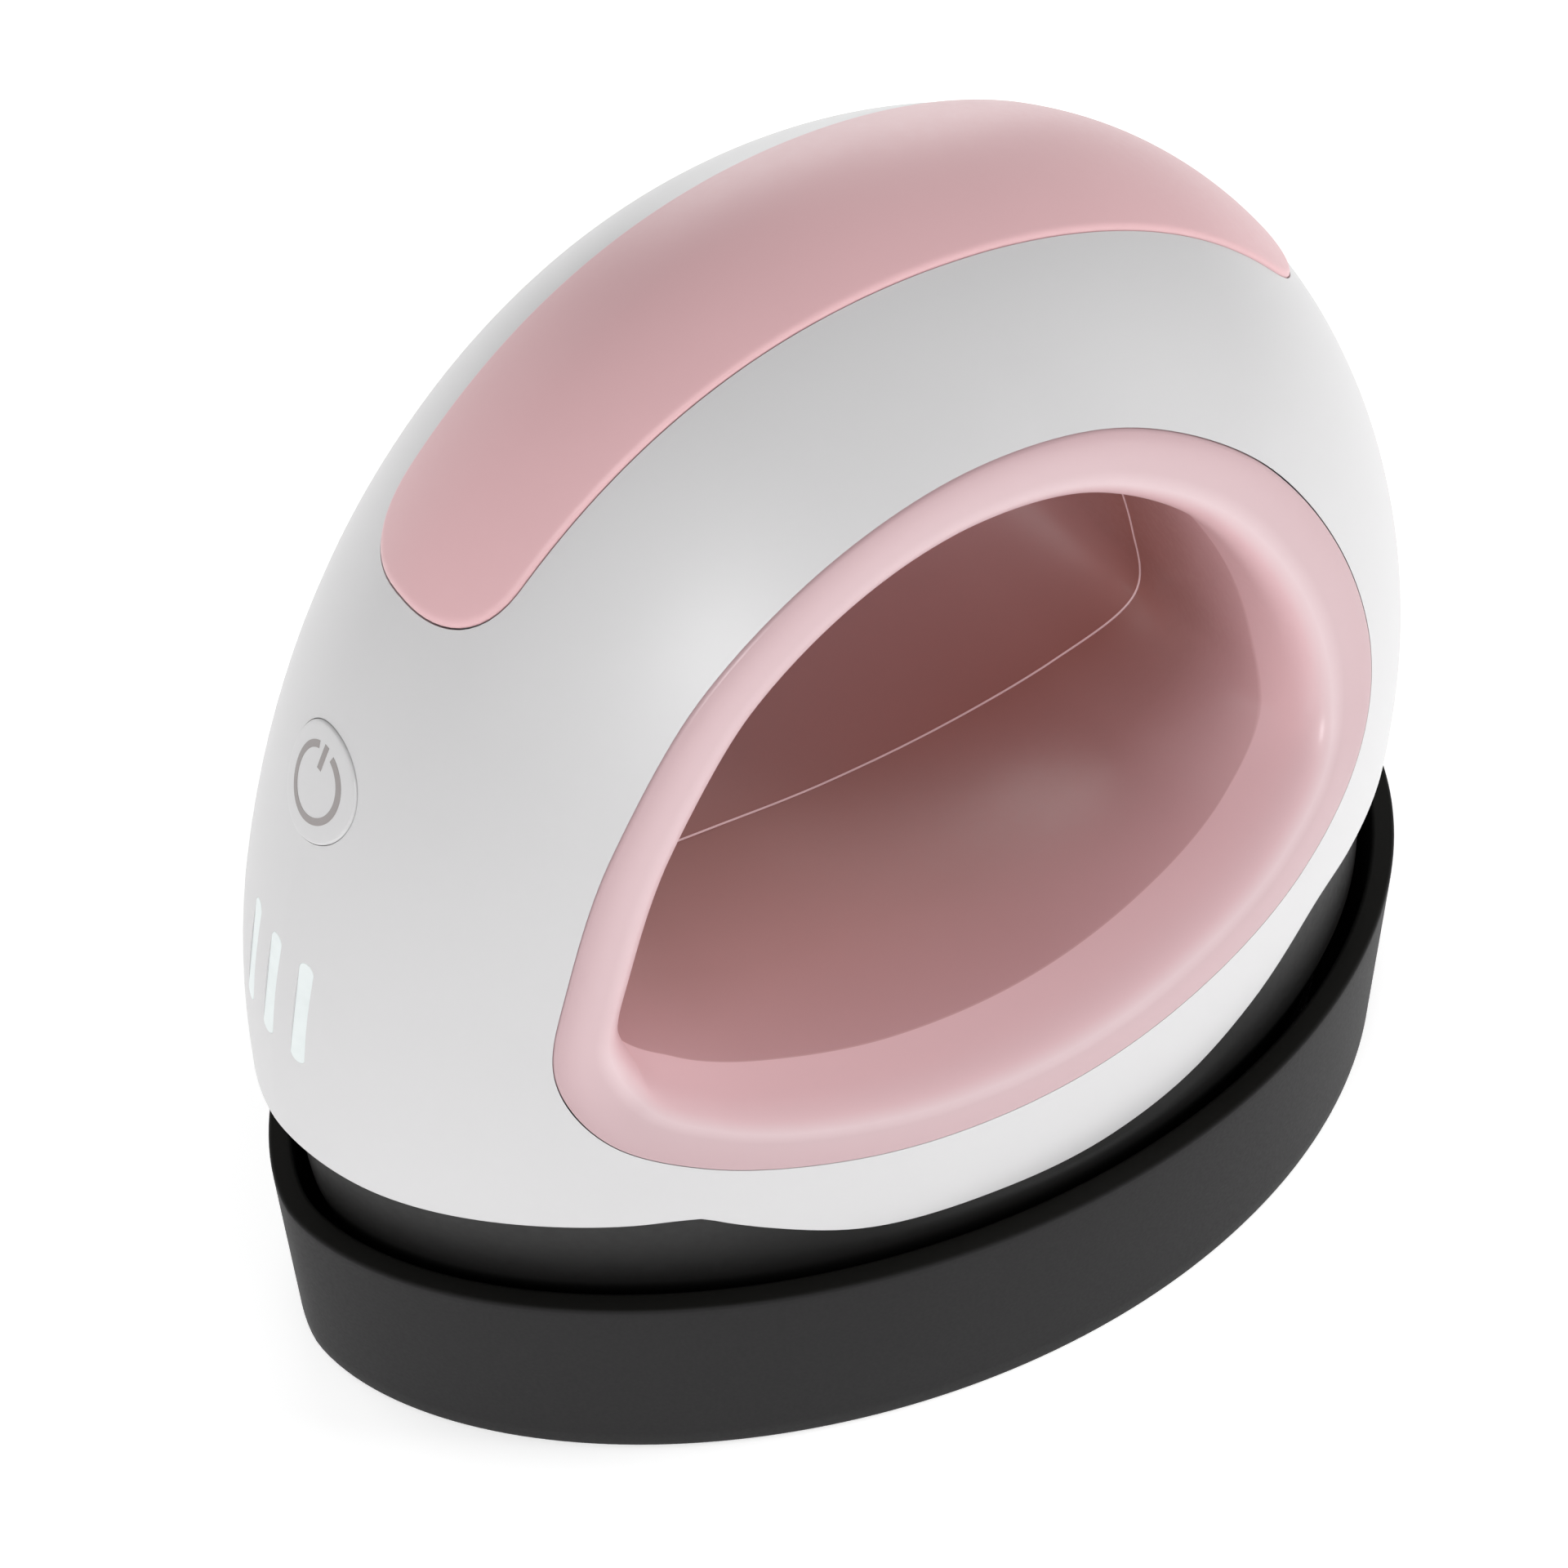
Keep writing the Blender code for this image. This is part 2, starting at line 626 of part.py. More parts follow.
def make_button():
    matrix = nose_matrix(*nose_frame(BUTTON_HEIGHT))
    flange = -4.4 * MM
    bm = bmesh.new()
    plug(bm, matrix, [
        (button_oval(BUTTON_RADIUS * 0.4), BUTTON_PROUD), (button_oval(BUTTON_RADIUS * 0.8), BUTTON_PROUD),
        (button_oval(BUTTON_RADIUS - 0.25 * MM), BUTTON_PROUD - 0.05 * MM),
        (button_oval(BUTTON_RADIUS), -0.1 * MM),
    ], [
        at_depth(button_oval(BUTTON_RADIUS), flange), at_depth(button_oval(BUTTON_FLANGE_RADIUS), flange),
        at_depth(button_oval(BUTTON_FLANGE_RADIUS), flange - 0.7 * MM),
    ])
    place_object(add_object("power_button", bm, WHITE), matrix)


def place_object(obj, matrix):
    obj.location = matrix.to_translation()
    obj.rotation_euler = matrix.to_euler()


def make_light_pipes():
    face = stadium(SLOT_WIDTH - 0.3 * MM, SLOT_LENGTH - 0.3 * MM)
    side = stadium(SLOT_WIDTH, SLOT_LENGTH)
    for name, matrix in slot_places():
        bm = bmesh.new()
        plug(bm, matrix, [(face, 0.1 * MM), (side, -0.05 * MM)], [at_depth(side, -PIPE_LENGTH)])
        place_object(add_object("light_pipe_" + name, bm, CLEAR), matrix)


def make_control_board():
    turn = (math.pi / 2 - CONTROL_LEAN, 0, 0)
    board = nose_matrix(CONTROL_CENTRE, CONTROL_LEAN)
    face = BOARD_THICKNESS / 2 + GAP
    box("control_board", (*CONTROL_BOARD, BOARD_THICKNESS), CONTROL_CENTRE, BOARD_GREEN, turn)

    def mount(name, size, right, up, mat, behind=False):
        out = face + size[2] / 2
        box(name, size, board @ Vector((right, up, -out if behind else out)), mat, turn)

    mount("button_switch", (6 * MM, 6 * MM, 3.4 * MM), 0, 10 * MM, COMPONENT)
    for k, name in enumerate(("left", "middle", "right")):
        mount("led_" + name, (1.6 * MM, 3.2 * MM, 0.8 * MM), (k - 1) * SLOT_PITCH, -11 * MM, CERAMIC)
    mount("control_chip", (6 * MM, 6 * MM, 1.2 * MM), -5 * MM, -2 * MM, COMPONENT, behind=True)
    mount("ribbon_socket", (9 * MM, 3 * MM, 2.4 * MM), 0, -14 * MM, CERAMIC, behind=True)


# ---------------------------------------------------------------- tail and power board

def gland_frame():
    rear = float(section(GLAND_HEIGHT)[2])
    return Matrix.Translation((0, rear, GLAND_HEIGHT)) @ Matrix.Rotation(-math.pi / 2, 4, 'X')


def gland_cutter():
    bm = bmesh.new()
    cylinder(bm, GLAND_RADIUS + GAP, -9 * MM, 8 * MM, segments=32)
    bmesh.ops.transform(bm, matrix=gland_frame(), verts=bm.verts)
    return add_object("gland_hole", bm, None, CUTTERS)


def make_gland():
    bore = 3.0 * MM
    out, flange, end = 0.6 * MM, -4.0 * MM, -5.6 * MM
    gland = turned("cord_gland", (
        (bore, out), (GLAND_RADIUS - 0.5 * MM, out), (GLAND_RADIUS, out - 0.4 * MM), (GLAND_RADIUS, flange),
        (GLAND_RADIUS + 1.2 * MM, flange), (GLAND_RADIUS + 1.2 * MM, end), (bore, end), (bore, out)), RUBBER)
    place_object(gland, gland_frame())


def make_power_board():
    z = POWER_CENTRE[2]
    box("power_board", (*POWER_BOARD, BOARD_THICKNESS), POWER_CENTRE, BOARD_GREEN)
    top = z + BOARD_THICKNESS / 2 + GAP
    parts = (
        ("relay", (15, 19, 9), (9, -8), RELAY_BLUE), ("power_module", (17, 20, 8.6), (-10, -8), COMPONENT),
        ("terminal_block", (14, 8, 8), (0, 18), CERAMIC), ("board_fuse", (4, 12, 4.4), (15, 13), CERAMIC),
    )
    for name, size, (px, py), mat in parts:
        width, length, height = (value * MM for value in size)
        box(name, (width, length, height), (px * MM, py * MM, top + height / 2), mat)
    low, high = DECK_TOP + GAP, z - BOARD_THICKNESS / 2 - GAP
    for k, (sx, sy) in enumerate(((-1, -1), (1, -1), (-1, 1), (1, 1))):
        bm = bmesh.new()
        cylinder(bm, 2.4 * MM, low, high, segments=16)
        post = add_object(f"board_post_{k + 1}", bm, BLACK)
        post.location = (sx * (POWER_BOARD[0] / 2 - 3 * MM), sy * (POWER_BOARD[1] / 2 - 3 * MM), 0)


# ---------------------------------------------------------------- heat shield and hot stack

def skirt_ring(inset, z):
    """
    Outline of the skirt: inside the shell above the shell's edge, close to the
    stand's wall at its rim, and drawn in below. z may vary round the ring.
    """
    angles = np.arange(AROUND) * 2 * math.pi / AROUND
    z = z + 0 * angles
    inner = SHELL_WALL + SKIRT_CLEARANCE + inset
    width, front, rear = section(np.maximum(z, BASE_HEIGHT))
    high = egg(angles, width - inner, front + inner, rear - inner, SHELL_SKEW)
    drawn = SKIRT_TAPER * np.clip((BASE_HEIGHT - z) / (BASE_HEIGHT - SKIRT_BOTTOM), 0, 1)
    inner = BASE_WALL + SKIRT_GAP + inset + drawn
    reach = BASE_HALF_LENGTH - inner
    low = egg(angles, BASE_HALF_WIDTH - inner, -reach, reach, BASE_SKEW)
    edge = edge_height(angles) - SKIRT_CLEARANCE
    share = np.clip((edge - z) / (edge - BASE_HEIGHT), 0, 1)
    x, y = (a + (b - a) * share for a, b in zip(high, low))
    return [tuple(point) for point in np.stack([x, y, z], axis=1)]


def skirt_top():
    angles = np.arange(AROUND) * 2 * math.pi / AROUND
    return edge_height(angles) + SKIRT_OVERLAP


def screw_cutter():
    bm = bmesh.new()
    for x, y in SCREW_PLACES:
        cylinder(bm, SCREW_RADIUS + 0.35 * MM, PLATE_TOP - 4 * MM, DECK_TOP + 2 * MM,
                 x * MM, y * MM, segments=16)
    return add_object("screw_clearance", bm, None, CUTTERS)


def lead_cutter():
    bm = bmesh.new()
    for x in LEAD_X:
        cylinder(bm, 2.0 * MM, element_top() + 0.1 * MM, DECK_TOP + 2 * MM, x, LEAD_DROP_Y, segments=16)
    return add_object("lead_holes", bm, None, CUTTERS)


def element_top():
    return PLATE_TOP + GAP + ELEMENT_THICKNESS


def make_hot_stack():
    screws = screw_cutter()
    leads = lead_cutter()

    bm = bmesh.new()
    wall = SKIRT_WALL
    top = skirt_top()
    loft(bm, [
        skirt_ring(0, SKIRT_BOTTOM), skirt_ring(0, BASE_HEIGHT),
        skirt_ring(0, top - SKIRT_OVERLAP - SKIRT_CLEARANCE), skirt_ring(0, top),
        skirt_ring(wall, top), skirt_ring(wall, DECK_TOP),
    ])
    skirt = add_object("heat_shield", bm, BLACK)
    bm = bmesh.new()
    loft(bm, [skirt_ring(wall, SKIRT_BOTTOM - 1 * MM), skirt_ring(wall, DECK_BOTTOM)])
    cut(skirt, add_object("plate_bay", bm, None, CUTTERS), screws, leads)

    layers = (
        ("heating_plate", PLATE_BOTTOM, PLATE_TOP, 2.8 * MM, ALUMINIUM, 0.8 * MM),
        ("heating_element", PLATE_TOP + GAP, element_top(), 5.0 * MM, MICA, 0),
        ("clamp_plate", element_top() + GAP, element_top() + GAP + CLAMP_THICKNESS, 4.4 * MM, STEEL, 0),
        ("fibre_blanket", element_top() + 2 * GAP + CLAMP_THICKNESS, DECK_BOTTOM - GAP, 3.0 * MM, FIBRE, 0),
    )
    top = element_top() + 2 * GAP + CLAMP_THICKNESS
    sensors = (("temperature_sensor", (4 * MM, 6 * MM, 1.4 * MM), -8 * MM),
               ("thermal_fuse", (4 * MM, 11 * MM, 1.6 * MM), 10 * MM))
    bm = bmesh.new()
    for name, size, y in sensors:
        box(name, size, (0, y, top + size[2] / 2), CERAMIC)
        room = [value + 2 * GAP for value in size]
        place = Matrix.Translation((0, y, top + size[2] / 2)) @ Matrix.Diagonal((*room, 1.0))
        bmesh.ops.create_cube(bm, size=1.0, matrix=place)
    sensor_pockets = add_object("sensor_pockets", bm, None, CUTTERS)

    for name, low, high, inset, mat, edge in layers:
        bm = bmesh.new()
        rings = [skirt_ring(inset, low + edge), skirt_ring(inset, high)]
        if edge:
            rings.insert(0, skirt_ring(inset + edge, low))
        loft(bm, rings)
        layer = add_object(name, bm, mat)
        cut(layer, screws)
        if low > element_top():
            cut(layer, leads)
        if name == "fibre_blanket":
            cut(layer, sensor_pockets)

    head = DECK_TOP + GAP
    low = PLATE_TOP - 3.4 * MM
    for k, (x, y) in enumerate(SCREW_PLACES):
        screw = turned(f"plate_screw_{k + 1}", (
            (0, head + 1.6 * MM), (2.0 * MM, head + 1.4 * MM), (2.4 * MM, head + 0.9 * MM), (2.4 * MM, head),
            (SCREW_RADIUS, head), (SCREW_RADIUS, low), (0, low)), STEEL, steps=16)
        screw.location = (x * MM, y * MM, 0)


def make_leads():
    """Heater leads from behind the power board down through the deck to the element."""
    for name, x in zip(("live", "neutral"), LEAD_X):
        route = np.array([(x / MM, 26.4, 36.8), (x / MM, 30, 36.4), (x / MM, 32.6, 33.6), (x / MM, 33, 29.3),
                          (x / MM, 33, 25.3), (x / MM, 33, 21.2)]) * MM
        t = np.arange(len(route))
        fine = np.linspace(0, len(route) - 1, 16)
        points = np.stack([smooth(t, route[:, k], fine) for k in range(3)], axis=1)
        curve = bpy.data.curves.new("heater_lead_" + name, 'CURVE')
        curve.dimensions = '3D'
        spline = curve.splines.new('POLY')
        spline.points.add(len(points) - 1)
        for knot, point in zip(spline.points, points):
            knot.co = (*point, 1)
        curve.bevel_depth = LEAD_RADIUS
        curve.bevel_resolution = 2
        curve.use_fill_caps = True
        curve.materials.append(LEAD_RED)
        PARTS.objects.link(bpy.data.objects.new("heater_lead_" + name, curve))


make_base()
make_shell()
make_grip_pad()
make_liner("liner_left", -1)
make_liner("liner_right", 1)
make_button()
make_light_pipes()
make_control_board()
make_gland()
make_power_board()
make_hot_stack()
make_leads()
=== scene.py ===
"""Looks for the mini heat press in its stand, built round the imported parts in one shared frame."""
import json
import math

import bmesh
import bpy
import numpy as np
from mathutils import Matrix, Vector


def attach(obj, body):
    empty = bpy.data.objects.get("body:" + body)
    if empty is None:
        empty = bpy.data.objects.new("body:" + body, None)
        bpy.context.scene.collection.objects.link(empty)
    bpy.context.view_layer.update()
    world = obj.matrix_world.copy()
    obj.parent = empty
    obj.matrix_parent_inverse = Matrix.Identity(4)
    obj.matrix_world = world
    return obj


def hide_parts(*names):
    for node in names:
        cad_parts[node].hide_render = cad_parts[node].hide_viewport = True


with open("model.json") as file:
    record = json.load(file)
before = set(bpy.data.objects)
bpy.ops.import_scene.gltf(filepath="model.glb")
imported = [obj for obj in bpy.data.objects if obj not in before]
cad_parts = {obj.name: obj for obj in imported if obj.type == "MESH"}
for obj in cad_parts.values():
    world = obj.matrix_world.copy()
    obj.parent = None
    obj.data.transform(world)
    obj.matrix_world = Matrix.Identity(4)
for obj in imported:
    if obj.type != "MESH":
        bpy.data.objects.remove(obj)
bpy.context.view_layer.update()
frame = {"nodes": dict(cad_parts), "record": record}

MM = 0.001
GAP = 0.3 * MM                      # clearance round the plain inner pieces
SEAM = 0.12 * MM                    # visible joint between fitted outer pieces

# Stand: plan sizes at its rim, egg shaped with the narrow end at the nose
BASE_HALF_WIDTH = 42.2 * MM
BASE_HALF_LENGTH = 63.0 * MM
BASE_SKEW = 1.16
FLARE_FRONT = 0.2 * MM              # how far the wall spreads down to the floor
FLARE_SIDE = 0.7 * MM
FLARE_REAR = 0.4 * MM
BASE_EDGE = 0.3 * MM                # chamfer round the foot of the wall
FOOT_HEIGHT = 0.4 * MM
BASE_HEIGHT = 24.1 * MM
BASE_WALL = 2.3 * MM
BASE_FLOOR = 3.0 * MM

# Helmet shell: height, half width, front reach and rear reach of its level sections
SHELL_STATIONS = (
    (21.8, 38.0, -61.6, 58.6),
    (31.8, 39.9, -62.2, 59.4),
    (44.6, 41.1, -61.7, 59.3),
    (54.1, 41.0, -60.3, 58.6),
    (63.6, 40.0, -57.8, 56.9),
    (73.1, 37.9, -54.4, 54.2),
    (82.6, 34.7, -49.8, 50.2),
    (92.1, 30.0, -43.8, 44.5),
    (101.6, 23.5, -35.6, 35.8),
    (108.6, 16.4, -26.8, 25.6),
    (113.0, 9.4, -17.5, 14.3),
    (115.2, 0.0, -3.0, -3.0),
)
SHELL_SKEW = 1.11
SHELL_WALL = 2.4 * MM
# Lower edge of the shell: angle from the nose in degrees, height
SHELL_EDGE = (
    (0, 37.8), (18, 36.9), (34, 37.3), (44, 37.75), (48.8, 38.2), (50.2, 38.15), (52, 37.2),
    (57, 34.6), (65, 30.8), (78, 28.6), (92, 28.0), (100, 30.0), (108, 35.2), (117, 42.2),
    (124, 42.8), (145, 41.8), (180, 41.4),
)

# Hand hole seen from the side (y, z), from its lowest point round the tail end
RIM_OUTLINE = (
    (-16, 43.7), (-2, 44.5), (12, 47.4), (25, 51.8), (34.0, 58.4), (36.3, 67.8), (32.3, 80.9),
    (24.0, 92.8), (11.5, 100.9), (-2.4, 103.0), (-16, 99.7), (-28.2, 91.6), (-37.6, 79.4),
    (-43.2, 66.8), (-45.3, 57.6), (-42.6, 50.4), (-36, 46.6), (-27, 44.6),
)
# The same hole at the middle plane, point for point
MIDDLE_OUTLINE = (
    (-14, 47.0), (-2, 45.2), (12, 44.6), (26, 45.8), (35.6, 49.2), (34.6, 58.8), (29.8, 71.3),
    (20.5, 83.8), (9.5, 91.2), (-3, 93.8), (-15, 91.2), (-24.5, 83.8), (-31.5, 73.3),
    (-35.4, 63.8), (-37.0, 57.8), (-35.4, 53.2), (-30.5, 50.4), (-23, 48.6),
)
LINER_WALL = 1.6 * MM
LIP_DEPTH = 5.6 * MM                # semi-axes of the rounded lip, along X
LIP_REACH = 4.5 * MM                # and in the plane of the hole

# Grip pad on the crown, seen from above
PAD_FRONT = -42.5 * MM
PAD_REAR = 44.0 * MM
PAD_HALF_WIDTH_FRONT = 8.3 * MM
PAD_HALF_WIDTH_REAR = 11.3 * MM
PAD_END_LENGTH = 6.6 * MM
PAD_END_POWER = 2.2
POCKET_DEPTH = 1.2 * MM
PAD_PROUD = 0.35 * MM

# Nose controls
BUTTON_RADIUS = 5.4 * MM
BUTTON_NARROW = 0.92
BUTTON_HEIGHT = 77.8 * MM
BUTTON_PROUD = 0.2 * MM
BUTTON_FLANGE_RADIUS = 6.3 * MM
FLANGE_DEPTH = 4.4 * MM             # from the nose's surface to the button's flange
FLANGE_THICKNESS = 0.7 * MM
SLOT_HEIGHT = 56.4 * MM             # middle of the three indicator slots
SLOT_LENGTH = 11.9 * MM
SLOT_WIDTH = 1.7 * MM
SLOT_PITCH = 4.3 * MM
PIPE_LENGTH = 8.4 * MM

# Tail gland
GLAND_HEIGHT = 51.8 * MM
GLAND_RADIUS = 5.6 * MM

# Heat shield and hot stack, bottom up
SKIRT_BOTTOM = 12.3 * MM
SKIRT_OVERLAP = 3.0 * MM            # how far it reaches up inside the shell
SKIRT_WALL = 1.8 * MM
SKIRT_CLEARANCE = 0.6 * MM
SKIRT_TAPER = 2.0 * MM
SKIRT_GAP = 1.3 * MM
DECK_BOTTOM = 25.6 * MM
DECK_TOP = 27.4 * MM


# ---------------------------------------------------------------- curves and surfaces

def smooth(xs, ys, x):
    """Cubic through the points (xs, ys) with finite-difference slopes."""
    xs = np.asarray(xs, float)
    ys = np.asarray(ys, float)
    slopes = np.gradient(ys, xs)
    i = np.clip(np.searchsorted(xs, x) - 1, 0, len(xs) - 2)
    step = xs[i + 1] - xs[i]
    t = (x - xs[i]) / step
    return ((2 * t**3 - 3 * t**2 + 1) * ys[i] + (t**3 - 2 * t**2 + t) * step * slopes[i]
            + (3 * t**2 - 2 * t**3) * ys[i + 1] + (t**3 - t**2) * step * slopes[i + 1])


def closed_curve(points, count):
    """Points spread evenly by index along a closed Catmull-Rom curve."""
    points = np.array(points, float) * MM
    n = len(points)
    out = []
    for k in range(count):
        u = k * n / count
        i = int(u)
        t = u - i
        p0, p1, p2, p3 = (points[(i + d) % n] for d in (-1, 0, 1, 2))
        out.append(p1 + 0.5 * t * (p2 - p0 + t * (2 * p0 - 5 * p1 + 4 * p2 - p3
                                                  + t * (3 * (p1 - p2) + p3 - p0))))
    return np.array(out)


def offset_outline(points, distance):
    """Move a closed outline outwards along its normals."""
    tangent = np.roll(points, -1, axis=0) - np.roll(points, 1, axis=0)
    normal = np.stack([tangent[:, 1], -tangent[:, 0]], axis=1)
    normal /= np.linalg.norm(normal, axis=1)[:, None]
    area = np.sum(points[:, 0] * np.roll(points[:, 1], -1) - points[:, 1] * np.roll(points[:, 0], -1))
    return points + normal * distance * (1 if area > 0 else -1)


STATIONS = np.array(SHELL_STATIONS) * MM
SHELL_TOP = STATIONS[-1, 0]


def crown_depth(z):
    """Square root of the depth below the crown, in which the shell's reaches run smoothly."""
    return np.sqrt(np.maximum(SHELL_TOP - z, 0.0))


def section(z):
    """Half width, front reach and rear reach of the shell's level section at height z."""
    depth = crown_depth(STATIONS[::-1, 0])
    width, front, rear = (smooth(depth, STATIONS[::-1, k], crown_depth(z)) for k in (1, 2, 3))
    least = 0.01 * MM
    return np.maximum(width, least), front, np.maximum(rear, front + 2 * least)


def egg(angle, width, front, rear, skew):
    """Plan point of an oval whose widest place lies behind its middle; angle 0 is the nose."""
    share = ((1 - np.cos(angle)) / 2)**(1 / skew)
    return width * np.sin(angle), front + (rear - front) * share


def shell_point(angle, z):
    """Point on the shell's outer surface."""
    x, y = egg(angle, *section(z), SHELL_SKEW)
    return np.array([x, y, z + 0 * angle])


def shell_field(x, y, z):
    """Negative inside the shell's outer surface, positive outside."""
    width, front, rear = section(z)
    share = (y - front) / (rear - front)
    bent = np.sign(share) * np.abs(share)**SHELL_SKEW
    return (x / width)**2 + (1 - 2 * bent)**2 - 1


def shell_normal(x, y, z):
    """Outward unit normal of the shell's surface, from differences of its field."""
    step = 0.02 * MM
    slope = np.array([shell_field(x + step, y, z) - shell_field(x - step, y, z),
                      shell_field(x, y + step, z) - shell_field(x, y - step, z),
                      shell_field(x, y, z + step) - shell_field(x, y, z - step)])
    return slope / np.linalg.norm(slope, axis=0)


def shell_side(y, z):
    """X of the outer surface on the +X side."""
    width, front, rear = section(z)
    bent = ((y - front) / (rear - front))**SHELL_SKEW
    return width * np.sqrt(np.maximum(1 - (1 - 2 * bent)**2, 0.0))


def bisect_surface(inside, outside):
    """Where the line between an inner and an outer point leaves the shell's surface."""
    for _ in range(40):
        middle = (inside + outside) / 2
        within = shell_field(*middle) < 0
        inside = np.where(within, middle, inside)
        outside = np.where(within, outside, middle)
    return inside


def shell_height(x, y):
    """Height of the outer surface over a point seen from above."""
    low = np.array([x, y, np.full(np.shape(x), 50 * MM)])
    high = np.array([x, y, np.full(np.shape(x), SHELL_TOP - 0.001 * MM)])
    return bisect_surface(low, high)[2]


def nose_frame(z):
    """Point on the nose at height z, and how far its outward normal tilts up."""
    front = float(section(z)[1])
    step = 1.0 * MM
    lean = float(section(z + step)[1] - section(z - step)[1]) / (2 * step)
    return Vector((0, front, z)), math.atan(lean)


def edge_height(angle):
    """Height of the shell's wavy lower edge, the same on both sides; angle 0 is the nose."""
    degrees = np.abs((np.degrees(angle) + 180) % 360 - 180)
    table = np.array(SHELL_EDGE, float)
    mirrored = np.vstack([table[1:3][::-1] * (-1, 1), table, (360, 0) + table[-3:-1][::-1] * (-1, 1)])
    return smooth(mirrored[:, 0], mirrored[:, 1], degrees) * MM


def stadium(width, height, count=48):
    """Upright slot outline with round ends."""
    radius = width / 2
    straight = height / 2 - radius
    points = []
    for k in range(count):
        angle = (k + 0.5) * 2 * math.pi / count
        lift = straight if math.sin(angle) > 0 else -straight
        points.append((radius * math.cos(angle), radius * math.sin(angle) + lift))
    return points


def nose_matrix(place, tilt):
    """Local Z along the outward normal, local Y up, local X across."""
    return Matrix.Translation(place) @ Matrix.Rotation(math.pi / 2 - tilt, 4, 'X')


def slot_places():
    """Name and matrix of each indicator slot on the nose."""
    place, tilt = nose_frame(SLOT_HEIGHT)
    for name, x in (("left", -SLOT_PITCH), ("middle", 0), ("right", SLOT_PITCH)):
        yield name, nose_matrix(place + Vector((x, 0, 0)), tilt)


# ---------------------------------------------------------------- mesh helpers

def make_object(name, bm, body, slot, mat, *nodes, sharp=40):
    """Turn bm into a smooth-shaded object that rides a body and replaces the named CAD nodes."""
    bmesh.ops.recalc_face_normals(bm, faces=bm.faces)
    mesh = bpy.data.meshes.new(name)
    bm.to_mesh(mesh)
    bm.free()
    mesh.shade_smooth()
    mesh.set_sharp_from_angle(angle=math.radians(sharp))
    mesh.materials.append(mat)
    obj = bpy.data.objects.new(name, mesh)
    bpy.context.scene.collection.objects.link(obj)
    if body:
        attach(obj, body)
        if nodes:
            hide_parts(*nodes)
    return obj


def loft(bm, rings, closed=False, caps=True):
    """Join equal rings of points with quads; closed joins the last ring to the first."""
    rows = [[bm.verts.new(tuple(map(float, point))) for point in ring] for ring in rings]
    pairs = list(zip(rows, rows[1:]))
    if closed:
        pairs.append((rows[-1], rows[0]))
    for low, high in pairs:
        for i in range(len(low)):
            j = (i + 1) % len(low)
            bm.faces.new((low[i], low[j], high[j], high[i]))
    if caps and not closed:
        bm.faces.new(rows[0])
        bm.faces.new(rows[-1])
    return rows


def apply_cuts(obj, cutters):
    """Cut the object once and for all, then drop the cutters."""
    for tool in cutters:
        modifier = obj.modifiers.new("cut", 'BOOLEAN')
        modifier.operation = 'DIFFERENCE'
        modifier.object = tool
        modifier.solver = 'EXACT'
    bpy.context.view_layer.update()
    done = obj.evaluated_get(bpy.context.evaluated_depsgraph_get())
    mesh = bpy.data.meshes.new_from_object(done)
    obj.modifiers.clear()
    obj.data = mesh
    for tool in cutters:
        bpy.data.objects.remove(tool)


NORMAL_MATCH = 0.94                 # cosine above which a face counts as lying along the shell
FIELD_NEAR = 0.02                   # and how near the surface's field it has to be


def follow_surface(mesh, low_z):
    """Give faces that lie on the shell's own surface its exact normals."""
    count = len(mesh.vertices)
    co = np.empty(count * 3)
    mesh.vertices.foreach_get("co", co)
    co = co.reshape(-1, 3)
    safe = np.array([co[:, 0], co[:, 1], np.clip(co[:, 2], low_z, SHELL_TOP - 0.1 * MM)])
    exact = shell_normal(*safe).T
    loops = np.empty(len(mesh.loops), int)
    mesh.loops.foreach_get("vertex_index", loops)
    corner = np.array([item.vector[:] for item in mesh.corner_normals])
    totals = np.empty(len(mesh.polygons), int)
    mesh.polygons.foreach_get("loop_total", totals)
    facing = np.empty(len(mesh.polygons) * 3)
    mesh.polygons.foreach_get("normal", facing)
    owner = np.repeat(np.arange(len(totals)), totals)
    lined = np.sum(facing.reshape(-1, 3)[owner] * exact[loops], axis=1) > NORMAL_MATCH
    near = np.abs(shell_field(*safe))[loops] < FIELD_NEAR
    use = lined & near & (co[loops, 2] > low_z)
    corner[use] = exact[loops][use]
    mesh.normals_split_custom_set([tuple(v) for v in corner])


# ---------------------------------------------------------------- materials

def tree_of(name):
    """New material, with its nodes, links, shader and object coordinates."""
    mat = bpy.data.materials.new(name)
    mat.use_nodes = True
    nodes, links = mat.node_tree.nodes, mat.node_tree.links
    shader = nodes["Principled BSDF"]
    place = nodes.new('ShaderNodeTexCoord')
    return mat, nodes, links, shader, place.outputs["Object"]


def noise(nodes, links, place, scale, detail=4.0, stretch=None):
    """Noise over the object's coordinates, stretched first if asked."""
    if stretch:
        mapping = nodes.new('ShaderNodeMapping')
        mapping.inputs["Scale"].default_value = stretch
        links.new(place, mapping.inputs["Vector"])
        place = mapping.outputs["Vector"]
    node = nodes.new('ShaderNodeTexNoise')
    node.inputs["Scale"].default_value = scale
    node.inputs["Detail"].default_value = detail
    links.new(place, node.inputs["Vector"])
    return node.outputs["Fac"]


def ramp(nodes, links, value, low, high, start=0.3, end=0.7):
    """Colour from low to high as the value runs from start to end."""
    node = nodes.new('ShaderNodeValToRGB')
    node.color_ramp.elements[0].position = start
    node.color_ramp.elements[1].position = end
    node.color_ramp.elements[0].color = (*low, 1)
    node.color_ramp.elements[1].color = (*high, 1)
    links.new(value, node.inputs["Fac"])
    return node.outputs["Color"]


